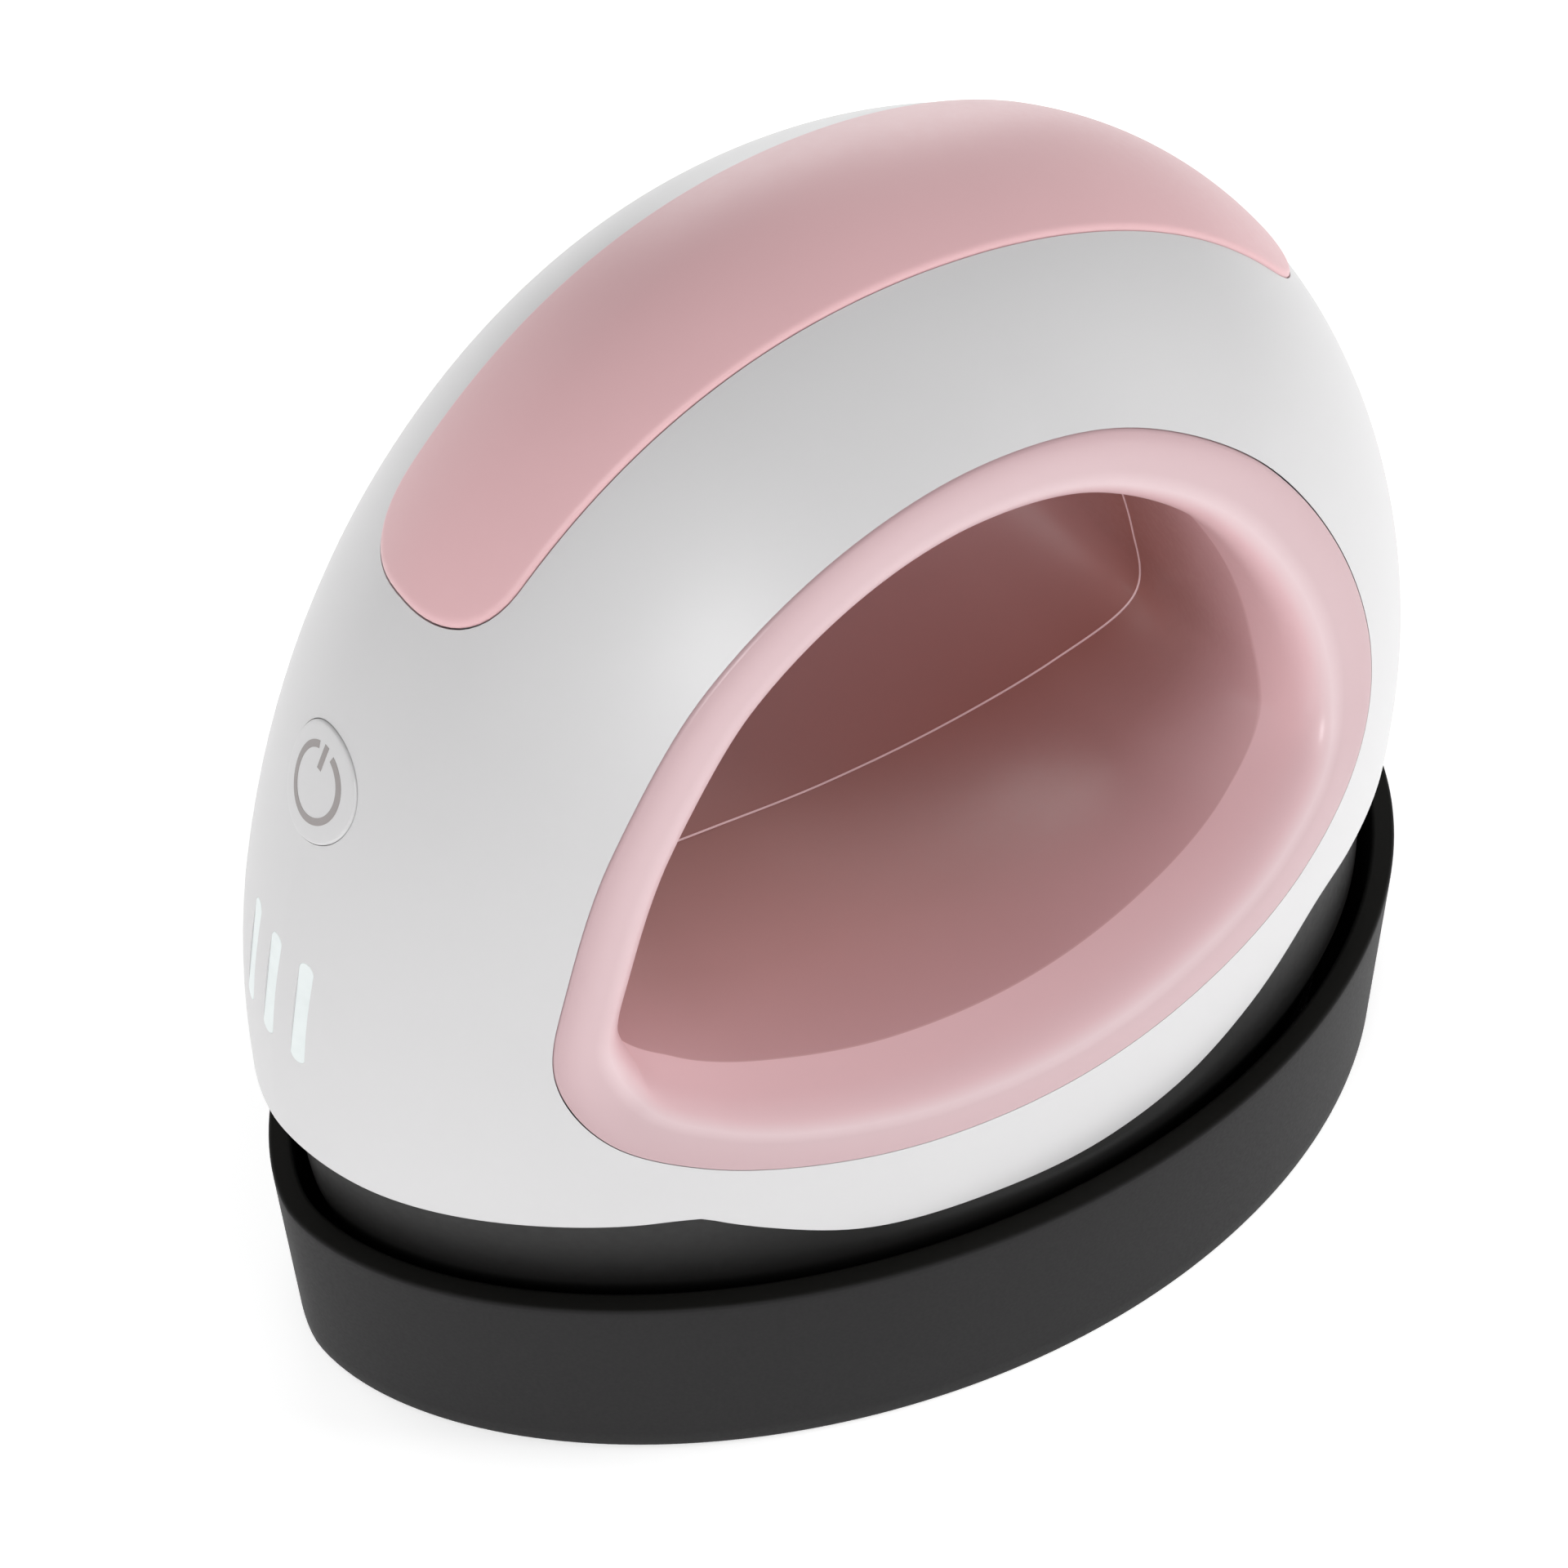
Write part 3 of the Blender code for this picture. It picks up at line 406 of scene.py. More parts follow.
def remap(nodes, links, value, low, high, start=0.3, end=0.7):
    """Number from low to high as the value runs from start to end."""
    node = nodes.new('ShaderNodeMapRange')
    for socket, number in (("From Min", start), ("From Max", end), ("To Min", low), ("To Max", high)):
        node.inputs[socket].default_value = number
    links.new(value, node.inputs["Value"])
    return node.outputs["Result"]


def bump(nodes, links, shader, height, distance, strength=1.0):
    node = nodes.new('ShaderNodeBump')
    node.inputs["Distance"].default_value = distance
    node.inputs["Strength"].default_value = strength
    links.new(height, node.inputs["Height"])
    links.new(node.outputs["Normal"], shader.inputs["Normal"])


def plastic(name, colour, roughness, grain=900.0, depth=0.004, coat=0.0, spread=0.04, sheen=0.0,
            coat_roughness=0.08, gloss=0.5):
    """Moulded plastic: faint colour drift, uneven gloss and a fine skin texture."""
    mat, nodes, links, shader, place = tree_of(name)
    drift = noise(nodes, links, place, 38.0, 3.0)
    low = tuple(c * (1 - spread) for c in colour)
    high = tuple(min(c * (1 + spread), 1.0) for c in colour)
    links.new(ramp(nodes, links, drift, low, high), shader.inputs["Base Color"])
    if depth:
        skin = noise(nodes, links, place, grain, 2.0)
        bump(nodes, links, shader, skin, depth * MM, 0.6)
    else:
        skin = drift
    links.new(remap(nodes, links, skin, roughness * 0.92, roughness * 1.08), shader.inputs["Roughness"])
    shader.inputs["Coat Weight"].default_value = coat
    shader.inputs["Coat Roughness"].default_value = coat_roughness
    shader.inputs["Specular IOR Level"].default_value = gloss
    shader.inputs["Sheen Weight"].default_value = sheen
    return mat


def rubber(name, colour):
    """Matt rubber with a little pale dust."""
    mat, nodes, links, shader, place = tree_of(name)
    dust = noise(nodes, links, place, 260.0, 6.0)
    pale = tuple(c * 2.2 + 0.01 for c in colour)
    links.new(ramp(nodes, links, dust, colour, pale, 0.45, 0.8), shader.inputs["Base Color"])
    links.new(remap(nodes, links, dust, 0.7, 0.9), shader.inputs["Roughness"])
    bump(nodes, links, shader, noise(nodes, links, place, 1600.0, 3.0), 0.02 * MM, 0.5)
    return mat


def metal(name, colour, roughness, stretch):
    """Brushed metal: streaks along one axis in colour, gloss and height."""
    mat, nodes, links, shader, place = tree_of(name)
    streak = noise(nodes, links, place, 1.0, 6.0, stretch)
    dull = tuple(c * 0.82 for c in colour)
    links.new(ramp(nodes, links, streak, dull, colour), shader.inputs["Base Color"])
    links.new(remap(nodes, links, streak, roughness * 0.75, roughness * 1.3), shader.inputs["Roughness"])
    bump(nodes, links, shader, streak, 0.003 * MM, 0.5)
    shader.inputs["Metallic"].default_value = 1.0
    return mat


def fibres(name, dark, light, scale, depth):
    """Felt or wool: tangled short fibres."""
    mat, nodes, links, shader, place = tree_of(name)
    tangle = noise(nodes, links, place, scale, 8.0, (1.0, 2.5, 1.0))
    cross = noise(nodes, links, place, scale * 1.7, 6.0, (2.5, 1.0, 1.0))
    mix = nodes.new('ShaderNodeMath')
    mix.operation = 'ADD'
    links.new(tangle, mix.inputs[0])
    links.new(cross, mix.inputs[1])
    links.new(ramp(nodes, links, mix.outputs["Value"], dark, light, 0.7, 1.3), shader.inputs["Base Color"])
    shader.inputs["Roughness"].default_value = 0.95
    shader.inputs["Sheen Weight"].default_value = 0.3
    bump(nodes, links, shader, mix.outputs["Value"], depth * MM, 0.8)
    return mat


def laminate(name):
    """Circuit board: green mask over copper tracks, with tinned pads."""
    mat, nodes, links, shader, place = tree_of(name)
    tracks = nodes.new('ShaderNodeTexBrick')
    tracks.inputs["Scale"].default_value = 260.0
    tracks.inputs["Mortar Size"].default_value = 0.09
    tracks.inputs["Color1"].default_value = (0.015, 0.13, 0.05, 1)
    tracks.inputs["Color2"].default_value = (0.012, 0.105, 0.042, 1)
    tracks.inputs["Mortar"].default_value = (0.04, 0.24, 0.08, 1)
    links.new(place, tracks.inputs["Vector"])
    pads = nodes.new('ShaderNodeTexVoronoi')
    pads.inputs["Scale"].default_value = 210.0
    links.new(place, pads.inputs["Vector"])
    spot = remap(nodes, links, pads.outputs["Distance"], 1.0, 0.0, 0.16, 0.2)
    mix = nodes.new('ShaderNodeMix')
    mix.data_type = 'RGBA'
    links.new(spot, mix.inputs["Factor"])
    links.new(tracks.outputs["Color"], mix.inputs[6])
    mix.inputs[7].default_value = (0.7, 0.68, 0.62, 1)
    links.new(mix.outputs[2], shader.inputs["Base Color"])
    links.new(remap(nodes, links, spot, 0.38, 0.22, 0.0, 1.0), shader.inputs["Roughness"])
    links.new(remap(nodes, links, spot, 0.0, 0.9, 0.0, 1.0), shader.inputs["Metallic"])
    bump(nodes, links, shader, tracks.outputs["Fac"], 0.03 * MM, 0.4)
    return mat


def layered(name, dark, light):
    """Mica: thin flakes and layers."""
    mat, nodes, links, shader, place = tree_of(name)
    flakes = noise(nodes, links, place, 1.0, 7.0, (90.0, 90.0, 2600.0))
    links.new(ramp(nodes, links, flakes, dark, light), shader.inputs["Base Color"])
    links.new(remap(nodes, links, flakes, 0.3, 0.6), shader.inputs["Roughness"])
    bump(nodes, links, shader, flakes, 0.03 * MM, 0.5)
    return mat


def stand_plastic():
    """Black moulding with a fine spark texture; the flat rim on top is painted darker, painted shade on the
    faces that look up.
    """
    mat, nodes, links, shader, place = tree_of("stand_plastic")
    geometry = nodes.new('ShaderNodeNewGeometry')
    split = nodes.new('ShaderNodeSeparateXYZ')
    links.new(geometry.outputs["Normal"], split.inputs["Vector"])
    # Painted shade: faces that look up, such as the flat rim, take the darker top colour
    upward_painted_shade = remap(nodes, links, split.outputs["Z"], 0.0, 1.0, 0.5, 0.95)
    drift = noise(nodes, links, place, 30.0, 3.0)
    wall = ramp(nodes, links, drift, (0.012, 0.0115, 0.012), (0.0135, 0.013, 0.0135))
    top = ramp(nodes, links, drift, (0.007, 0.0068, 0.006), (0.009, 0.0088, 0.008))
    mix = nodes.new('ShaderNodeMix')
    mix.data_type = 'RGBA'
    links.new(upward_painted_shade, mix.inputs["Factor"])
    links.new(wall, mix.inputs[6])
    links.new(top, mix.inputs[7])
    links.new(mix.outputs[2], shader.inputs["Base Color"])
    grain = noise(nodes, links, place, 2600.0, 2.0)
    links.new(remap(nodes, links, grain, 0.52, 0.58), shader.inputs["Roughness"])
    shader.inputs["Specular IOR Level"].default_value = 0.12
    bump(nodes, links, shader, grain, 0.003 * MM, 0.6)
    return mat


def lit_lens():
    """Frosted light pipe with its lamp on."""
    mat, nodes, links, shader, place = tree_of("light_pipe")
    frost = noise(nodes, links, place, 700.0, 3.0)
    links.new(ramp(nodes, links, frost, (0.28, 0.30, 0.30), (0.30, 0.32, 0.32)), shader.inputs["Base Color"])
    links.new(remap(nodes, links, frost, 0.5, 0.54), shader.inputs["Roughness"])
    shader.inputs["Specular IOR Level"].default_value = 0.2
    shader.inputs["Emission Color"].default_value = (0.93, 0.985, 0.98, 1)
    links.new(remap(nodes, links, frost, 0.51, 0.53), shader.inputs["Emission Strength"])
    return mat


# Colours of the liner by painted light, from the painted shade deepest in the middle of the hole (0) to the
# edge of its lip (1); the step at the crease is painted shade and the light stops round 0.9 are a painted
# highlight along the lip's crest
LINER_PAINTED_LIGHT = (
    (0.0, (0.32, 0.135, 0.12)), (0.35, (0.40, 0.205, 0.20)), (0.62, (0.52, 0.30, 0.31)),
    (0.77, (0.60, 0.365, 0.38)), (0.8, (0.77, 0.51, 0.535)), (0.88, (0.72, 0.49, 0.515)),
    (0.918, (0.69, 0.53, 0.55)), (0.945, (0.56, 0.40, 0.42)), (1.0, (0.51, 0.345, 0.365)),
)


def tunnel_painted_light_plastic():
    """Liner: rose plastic coloured by the mesh's painted light, with painted shade deepest in the middle of
    the hole and a painted highlight along the lip's crest.
    """
    mat, nodes, links, shader, place = tree_of("pink_liner")
    drift = noise(nodes, links, place, 45.0, 3.0)
    # Each vertex carries its painted shade and highlight as a number from 0 to 1
    painted_light = nodes.new('ShaderNodeAttribute')
    painted_light.attribute_name = "painted_light"
    uneven = nodes.new('ShaderNodeMath')
    uneven.operation = 'MULTIPLY_ADD'
    links.new(drift, uneven.inputs[0])
    uneven.inputs[1].default_value = 0.01
    links.new(painted_light.outputs["Fac"], uneven.inputs[2])
    scale = nodes.new('ShaderNodeValToRGB')
    scale.color_ramp.elements[0].color = (*LINER_PAINTED_LIGHT[0][1], 1)
    scale.color_ramp.elements[1].color = (*LINER_PAINTED_LIGHT[-1][1], 1)
    for position, colour in LINER_PAINTED_LIGHT[1:-1]:
        scale.color_ramp.elements.new(position).color = (*colour, 1)
    links.new(uneven.outputs["Value"], scale.inputs["Fac"])
    links.new(scale.outputs["Color"], shader.inputs["Base Color"])
    skin = noise(nodes, links, place, 1100.0, 2.0)
    links.new(remap(nodes, links, skin, 0.36, 0.44), shader.inputs["Roughness"])
    shader.inputs["Coat Weight"].default_value = 0.3
    shader.inputs["Coat Roughness"].default_value = 0.2
    bump(nodes, links, shader, skin, 0.003 * MM, 0.5)
    return mat


SATIN = {"coat": 0.45, "coat_roughness": 0.36, "spread": 0.01, "depth": 0}
WHITE = plastic("white_shell", (0.585, 0.58, 0.585), 0.4, **SATIN)
BUTTON_WHITE = plastic("white_button", (0.595, 0.59, 0.595), 0.4, **SATIN)
GREY_INK = plastic("grey_ink", (0.31, 0.285, 0.28), 0.5, depth=0.002)
GRIP = plastic("pink_grip", (0.70, 0.43, 0.45), 0.44, grain=1300, depth=0.003, spread=0.02, sheen=0.15)
LINER = tunnel_painted_light_plastic()
# The bead over the liners' seam is painted lighter than the liner: a painted highlight along the seam
BEAD_PAINTED_HIGHLIGHT = plastic("pink_seam_painted_highlight", (0.84, 0.62, 0.64), 0.4, depth=0.002)
STAND = stand_plastic()
SHIELD = plastic("shield_plastic", (0.0115, 0.0112, 0.011), 0.46, depth=0.002, spread=0.1, gloss=0.3)
LENS = lit_lens()
FELT = fibres("carbon_felt", (0.006, 0.006, 0.006), (0.03, 0.03, 0.032), 900.0, 0.2)
WOOL = fibres("ceramic_fibre", (0.55, 0.53, 0.47), (0.85, 0.83, 0.78), 500.0, 0.4)
RUBBER = rubber("black_rubber", (0.012, 0.012, 0.012))
RED = rubber("red_silicone", (0.42, 0.02, 0.015))
BOARD = laminate("board_laminate")
BLACK_PART = plastic("component_black", (0.018, 0.018, 0.02), 0.45, grain=2200, depth=0.01, spread=0.15)
BLUE_PART = plastic("relay_blue", (0.025, 0.10, 0.40), 0.3, coat=0.2, spread=0.06)
CERAMIC = plastic("ceramic_white", (0.78, 0.77, 0.73), 0.55, grain=2600, depth=0.012, spread=0.05)
CREAM = plastic("connector_plastic", (0.70, 0.67, 0.58), 0.4, spread=0.05)
ALUMINIUM = metal("plate_aluminium", (0.78, 0.78, 0.80), 0.32, (2400.0, 40.0, 2400.0))
ZINC = metal("zinc_steel", (0.62, 0.62, 0.64), 0.3, (60.0, 1500.0, 1500.0))
MICA = layered("mica_sheet", (0.34, 0.27, 0.17), (0.62, 0.54, 0.40))

BY_SLOT = {
    "white_shell": WHITE, "white_button": BUTTON_WHITE, "pink_grip": GRIP, "pink_liner": LINER,
    "light_pipe": LENS, "stand_plastic": STAND, "shield_plastic": SHIELD, "carbon_felt": FELT,
    "black_rubber": RUBBER, "board_laminate": BOARD, "component_black": BLACK_PART,
    "relay_blue": BLUE_PART, "ceramic_white": CERAMIC, "connector_plastic": CREAM,
    "plate_aluminium": ALUMINIUM, "zinc_steel": ZINC, "mica_sheet": MICA, "ceramic_fibre": WOOL,
    "red_silicone": RED,
}


def dress_cad():
    """Give every CAD piece the material of its slot."""
    for part in frame["record"]["subparts"]:
        mesh = frame["nodes"][part["node"]].data
        mesh.materials.clear()
        mesh.materials.append(BY_SLOT[part["material_slot"]])


# ---------------------------------------------------------------- stand

AROUND = 240                        # points round the stand, skirt, pad and liners
TURN = np.arange(AROUND) * 2 * math.pi / AROUND
RIM_ROUND = 0.45 * MM               # rounding of the wall's rim
COVE = ((0.2, 1.2), (0.5, 0.4), (1.2, 0.0))     # mm in from the wall, mm above the floor


def stand_ring(inset, z, flare=0.0):
    """The stand's outline; flare 1 is the foot of the wall and 0 its rim."""
    width = BASE_HALF_WIDTH + FLARE_SIDE * flare - inset
    front = -BASE_HALF_LENGTH - FLARE_FRONT * flare + inset
    rear = BASE_HALF_LENGTH + FLARE_REAR * flare - inset
    x, y = egg(TURN, width, front, rear, BASE_SKEW)
    return np.stack([x, y, z + 0 * TURN], axis=1)


def make_stand():
    """Tray with its raised wall, from the foot up over the rim and down to the floor inside."""
    low, top = FOOT_HEIGHT, BASE_HEIGHT
    floor = low + BASE_FLOOR
    rings = [stand_ring(BASE_EDGE * 1.5, low, 1.0), stand_ring(BASE_EDGE * 0.4, low + BASE_EDGE * 0.4, 1.0),
             stand_ring(0, low + BASE_EDGE * 1.6, 1.0)]
    for share in np.linspace(0.1, 0.95, 8):
        rings.append(stand_ring(0, low + (top - low) * share, 1 - share))
    soft = RIM_ROUND
    for angle in np.linspace(0, math.pi / 2, 6):
        rings.append(stand_ring(soft * (1 - math.cos(angle)), top - soft * (1 - math.sin(angle))))
    for angle in np.linspace(0, math.pi / 2, 6):
        rings.append(stand_ring(BASE_WALL - soft * (1 - math.sin(angle)), top - soft * (1 - math.cos(angle))))
    rings.append(stand_ring(BASE_WALL, top - 4 * MM))
    rings += [stand_ring(BASE_WALL + inset * MM, floor + height * MM) for inset, height in COVE]
    bm = bmesh.new()
    loft(bm, rings)
    make_object("visual_base_tray", bm, "stand", "stand_plastic", STAND, "base_tray", sharp=60)


# ---------------------------------------------------------------- shell

EDGE_ROUND = 0.7 * MM               # rounding of the shell's lower edge
EXACT_ABOVE = 26 * MM               # the surface's exact normals are used above this height
BUTTON_SEAM = 0.06 * MM
SLOT_SEAM = 0.04 * MM
# Where the cutters start and end: across the shell, and along the normal of its surface
HOLE_CUT = (-60 * MM, 60 * MM)
PAD_CUT = 4 * MM
BUTTON_CUT = (-8 * MM, 5 * MM)
SLOT_CUT = (-9 * MM, 5 * MM)
GLAND_CUT = (-9 * MM, 8 * MM)


def surface_rows(levels, angles, offset):
    """Rings on the shell, or offset from it, from the crown (level 0) to its lower edge (1)."""
    low = edge_height(angles)
    rows = []
    for level in levels:
        z = SHELL_TOP - (SHELL_TOP - low) * level**2
        points = shell_point(angles, z)
        rows.append((points + shell_normal(*points) * offset).T)
    return rows


def make_shell():
    """Outer skin and inner wall as one closed surface, then everything cut out of it."""
    around = 288
    angles = np.arange(around) * 2 * math.pi / around
    fine = np.concatenate([[0.05, 0.1, 0.15], np.linspace(0.2, 1.0, 90)])
    coarse = np.concatenate([[0.1, 0.18], np.linspace(0.26, 1.0, 24)])
    outer = surface_rows(fine[:-1], angles, 0.0)
    tip = surface_rows([1.0], angles, 0.0)[0]
    facing = shell_normal(*tip.T).T
    down = np.array([0, 0, -1.0])
    for turn in np.linspace(0, math.pi / 2, 7):
        drop = down * EDGE_ROUND * (1 - math.sin(turn))
        draw = facing * EDGE_ROUND * (1 - math.cos(turn))
        outer.append(tip - drop - draw)
    inner = surface_rows(coarse[::-1], angles, -SHELL_WALL)
    bm = bmesh.new()
    rows = loft(bm, outer + inner, caps=False)
    for ring, height in ((rows[0], SHELL_TOP), (rows[-1], SHELL_TOP - SHELL_WALL)):
        point = bm.verts.new((0, float(STATIONS[-1, 2]), height))
        for i in range(around):
            bm.faces.new((ring[i], ring[(i + 1) % around], point))
    shell = make_object("visual_outer_shell", bm, "press", "white_shell", WHITE, "outer_shell")
    apply_cuts(shell, shell_cutters())
    shell.data.set_sharp_from_angle(angle=math.radians(40))
    follow_surface(shell.data, EXACT_ABOVE)


def cutter(bm, matrix=None):
    obj = make_object("cutter", bm, None, None, WHITE)
    if matrix:
        obj.data.transform(matrix)
    return obj


def shell_cutters():
    """Everything taken out of the shell: hand hole, pad pocket, button, slots and gland."""
    outline = offset_outline(closed_curve(RIM_OUTLINE, 216), SEAM)
    bm = bmesh.new()
    loft(bm, [[(x, y, z) for y, z in outline] for x in HOLE_CUT])
    cutters = [cutter(bm)]
    bm = bmesh.new()
    grip_sheet(bm, SEAM / 2, -POCKET_DEPTH, PAD_CUT, 0.0)
    cutters.append(cutter(bm))
    bm = bmesh.new()
    loft(bm, [at_depth(button_oval(BUTTON_RADIUS + BUTTON_SEAM, 96), z) for z in BUTTON_CUT])
    cutters.append(cutter(bm, nose_matrix(*nose_frame(BUTTON_HEIGHT))))
    outline = stadium(SLOT_WIDTH + SLOT_SEAM, SLOT_LENGTH + SLOT_SEAM)
    for _, matrix in slot_places():
        bm = bmesh.new()
        loft(bm, [at_depth(outline, z) for z in SLOT_CUT])
        cutters.append(cutter(bm, matrix))
    rear = float(section(GLAND_HEIGHT)[2])
    bm = bmesh.new()
    loft(bm, [at_depth(circle(GLAND_RADIUS + GAP), z) for z in GLAND_CUT])
    backwards = Matrix.Rotation(-math.pi / 2, 4, 'X')
    cutters.append(cutter(bm, Matrix.Translation((0, rear, GLAND_HEIGHT)) @ backwards))
    return cutters


def circle(radius, count=64):
    angles = [k * 2 * math.pi / count for k in range(count)]
    return [(radius * math.cos(a), radius * math.sin(a)) for a in angles]


def button_oval(radius, count=64):
    """The button's outline, a little narrower than it is tall."""
    return [(BUTTON_NARROW * x, y) for x, y in circle(radius, count)]


def at_depth(outline, z):
    return [(x, y, z) for x, y in outline]


# ---------------------------------------------------------------- grip pad

PAD_ROUND = 0.55 * MM               # rounding of the pad's upper edge
SPINE = (PAD_FRONT + 9 * MM, PAD_REAR - 11 * MM)    # ends of the line that its rings draw in to
WELD = 0.004 * MM


def pad_outline(grow, count):
    """The pad seen from above, evenly spread round its boundary."""
    front, rear = PAD_FRONT - grow, PAD_REAR + grow
    spread = 0.5 - 0.5 * np.cos(np.linspace(0, math.pi, 400))
    ys = front + (rear - front) * spread
    share = (ys - front) / (rear - front)
    width = PAD_HALF_WIDTH_FRONT + (PAD_HALF_WIDTH_REAR - PAD_HALF_WIDTH_FRONT) * share + grow
    end = np.clip(np.minimum(ys - front, rear - ys) / PAD_END_LENGTH, 0, 1)
    xs = width * (1 - (1 - end)**PAD_END_POWER)**(1 / PAD_END_POWER)
    loop = np.concatenate([np.stack([xs, ys], axis=1), np.stack([-xs[-2:0:-1], ys[-2:0:-1]], axis=1)])
    closed = np.vstack([loop, loop[:1]])
    along = np.concatenate([[0], np.cumsum(np.linalg.norm(np.diff(closed, axis=0), axis=1))])
    even = np.linspace(0, along[-1], count, endpoint=False)
    return np.stack([np.interp(even, along, closed[:, k]) for k in (0, 1)], axis=1)


def grip_sheet(bm, grow, low, high, soft):
    """A crowned sheet inside the pad's outline, its upper edge rounded by soft."""
    outline = pad_outline(grow, AROUND)
    centre_y = np.clip(outline[:, 1], *SPINE)
    spine = np.stack([0 * centre_y, centre_y], axis=1)
    inward = offset_outline(outline, -1.0) - outline

    def ring(inset, offset, draw=0.0):
        flat = outline + inward * inset
        flat = flat + (spine - flat) * draw
        z = shell_height(flat[:, 0], flat[:, 1])
        points = np.array([flat[:, 0], flat[:, 1], z])
        return (points + shell_normal(*points) * offset).T

    rings = [ring(0, low, draw) for draw in (1.0, 0.6, 0.3, 0.0)]
    if soft:
        for angle in np.linspace(0, math.pi / 2, 7):
            rings.append(ring(soft * (1 - math.cos(angle)), high - soft * (1 - math.sin(angle))))
        rings += [ring(soft, high, draw) for draw in np.linspace(0.02, 1.0, 20)]
    else:
        rings += [ring(0, high, draw) for draw in (0.0, 0.3, 0.6, 1.0)]
    loft(bm, rings, caps=False)
    bmesh.ops.remove_doubles(bm, verts=bm.verts, dist=WELD)


def make_grip():
    """Grip pad in its pocket over the crown."""
    bm = bmesh.new()
    grip_sheet(bm, 0.0, GAP - POCKET_DEPTH, PAD_PROUD, PAD_ROUND)
    make_object("visual_grip_pad", bm, "press", "pink_grip", GRIP, "grip_pad", sharp=50)


# ---------------------------------------------------------------- liners

LIP_POWER = 2.7                     # above 2 tightens the lip's bend
LIP_BAND = 3.2 * MM                 # the band painted lighter runs on this far inside the lip
TUNNEL_PAINTED_SHADE, BAND_PAINTED_LIGHT = 0.6, 0.8   # painted light on each side of the crease where the band starts: painted shade in the tunnel, lighter in the band
TAIL_PAINTED_LIGHT = 0.32                    # painted light: the tunnel is painted lighter towards the tail by this share
TAIL_REACH = 30 * MM                # from the middle to where that share is full
CREASE = 0.004                      # half the width of the crease, as a share of the way out
HALF_SEAM = 0.05 * MM               # half the slit between the two halves
# Section of the bead over that slit: X, and how far out of the hole from its wall
BEAD = ((-0.16 * MM, 0.3 * MM), (-0.1 * MM, -0.06 * MM), (0.1 * MM, -0.06 * MM), (0.16 * MM, 0.3 * MM))


def make_liners():
    """The two halves of the hand hole's lining, and the bead where they meet."""
    rim = closed_curve(RIM_OUTLINE, AROUND)
    middle = closed_curve(MIDDLE_OUTLINE, AROUND)
    rim_x = shell_side(rim[:, 0], rim[:, 1])
    normal = shell_normal(rim_x, rim[:, 0], rim[:, 1])
    outward = offset_outline(rim, 1.0) - rim
    lift = normal[1] * outward[:, 0] + normal[2] * outward[:, 1]
    first = np.arctan2(lift * LIP_REACH, normal[0] * LIP_DEPTH)

    def tight(value):
        return np.sign(value) * np.abs(value)**(2 / LIP_POWER)

    def lip(share):
        """The lip's round, from the shell's own slope (0) to running inwards along X (1)."""
        angle = first + (-math.pi / 2 - first) * share
        x = rim_x + LIP_DEPTH * (tight(np.cos(angle)) - tight(np.cos(first)))
        reach = LIP_REACH * (tight(np.sin(angle)) - tight(np.sin(first)))
        return x, rim + outward * reach[:, None]

    throat_x, throat = lip(1.0)
    crease = 1 - LIP_BAND / throat_x
    for side, name in ((-1, "left"), (1, "right")):
        def ring(x, outline):
            reach = side * np.broadcast_to(x, AROUND)
            return np.stack([reach, outline[:, 0], outline[:, 1]], axis=1)

        rings, painted_lights = [], []

        def tunnel(share, painted_light):
            blend = share * share * (3 - 2 * share)
            reach = HALF_SEAM + (throat_x - HALF_SEAM) * share
            rings.append(ring(reach, middle + (throat - middle) * np.reshape(blend, (-1, 1))))
            painted_lights.append(painted_light)

        # Painted shade: the tunnel gets darker towards the middle of the hole, and the colour steps down
        # across the crease from the band
        for share in np.linspace(0, 1, 20)[:-1]:
            tunnel(crease * share, TUNNEL_PAINTED_SHADE * share)
        tunnel(crease - CREASE, TUNNEL_PAINTED_SHADE)
        tunnel(crease + CREASE, BAND_PAINTED_LIGHT)
        for share in (0.3, 0.6, 0.9):
            tunnel(crease + (1 - crease) * share, BAND_PAINTED_LIGHT)
        # The lip's painted light runs from the band out to the rim, past the painted highlight along its
        # crest
        for share in np.linspace(1.0, 0.0, 30):
            rings.append(ring(*lip(share)))
            painted_lights.append(BAND_PAINTED_LIGHT + (1 - BAND_PAINTED_LIGHT) * (1 - share))
        rings.append(ring(rim_x - LINER_WALL, rim))
        rings.append(ring(throat_x - 0.5 * MM, offset_outline(throat, LINER_WALL)))
        rings.append(ring(HALF_SEAM, offset_outline(middle, LINER_WALL)))
        painted_lights += [1.0, 1.0, 0.0]
        bm = bmesh.new()
        layer = bm.verts.layers.float.new("painted_light")
        for row, painted_light in zip(loft(bm, rings, closed=True), painted_lights):
            # Painted light: the tunnel's colour gets lighter towards the tail
            painted_tail_light = TAIL_PAINTED_LIGHT * painted_light if painted_light <= TUNNEL_PAINTED_SHADE else 0.0
            for vert in row:
                vert[layer] = painted_light + painted_tail_light * np.clip(vert.co.y / TAIL_REACH, 0, 1)
        make_object("visual_liner_" + name, bm, "press", "pink_liner", LINER, "liner_" + name, sharp=60)

    bm = bmesh.new()
    lines = [(x, offset_outline(middle, out)) for x, out in BEAD]
    loft(bm, [np.stack([np.full(AROUND, x), line[:, 0], line[:, 1]], axis=1) for x, line in lines],
         closed=True)
    make_object("liner_parting_bead", bm, "press", "pink_liner", BEAD_PAINTED_HIGHLIGHT)


# ---------------------------------------------------------------- nose controls

SEARCH = (12 * MM, 4 * MM)          # how far behind and before the nose its surface is looked for


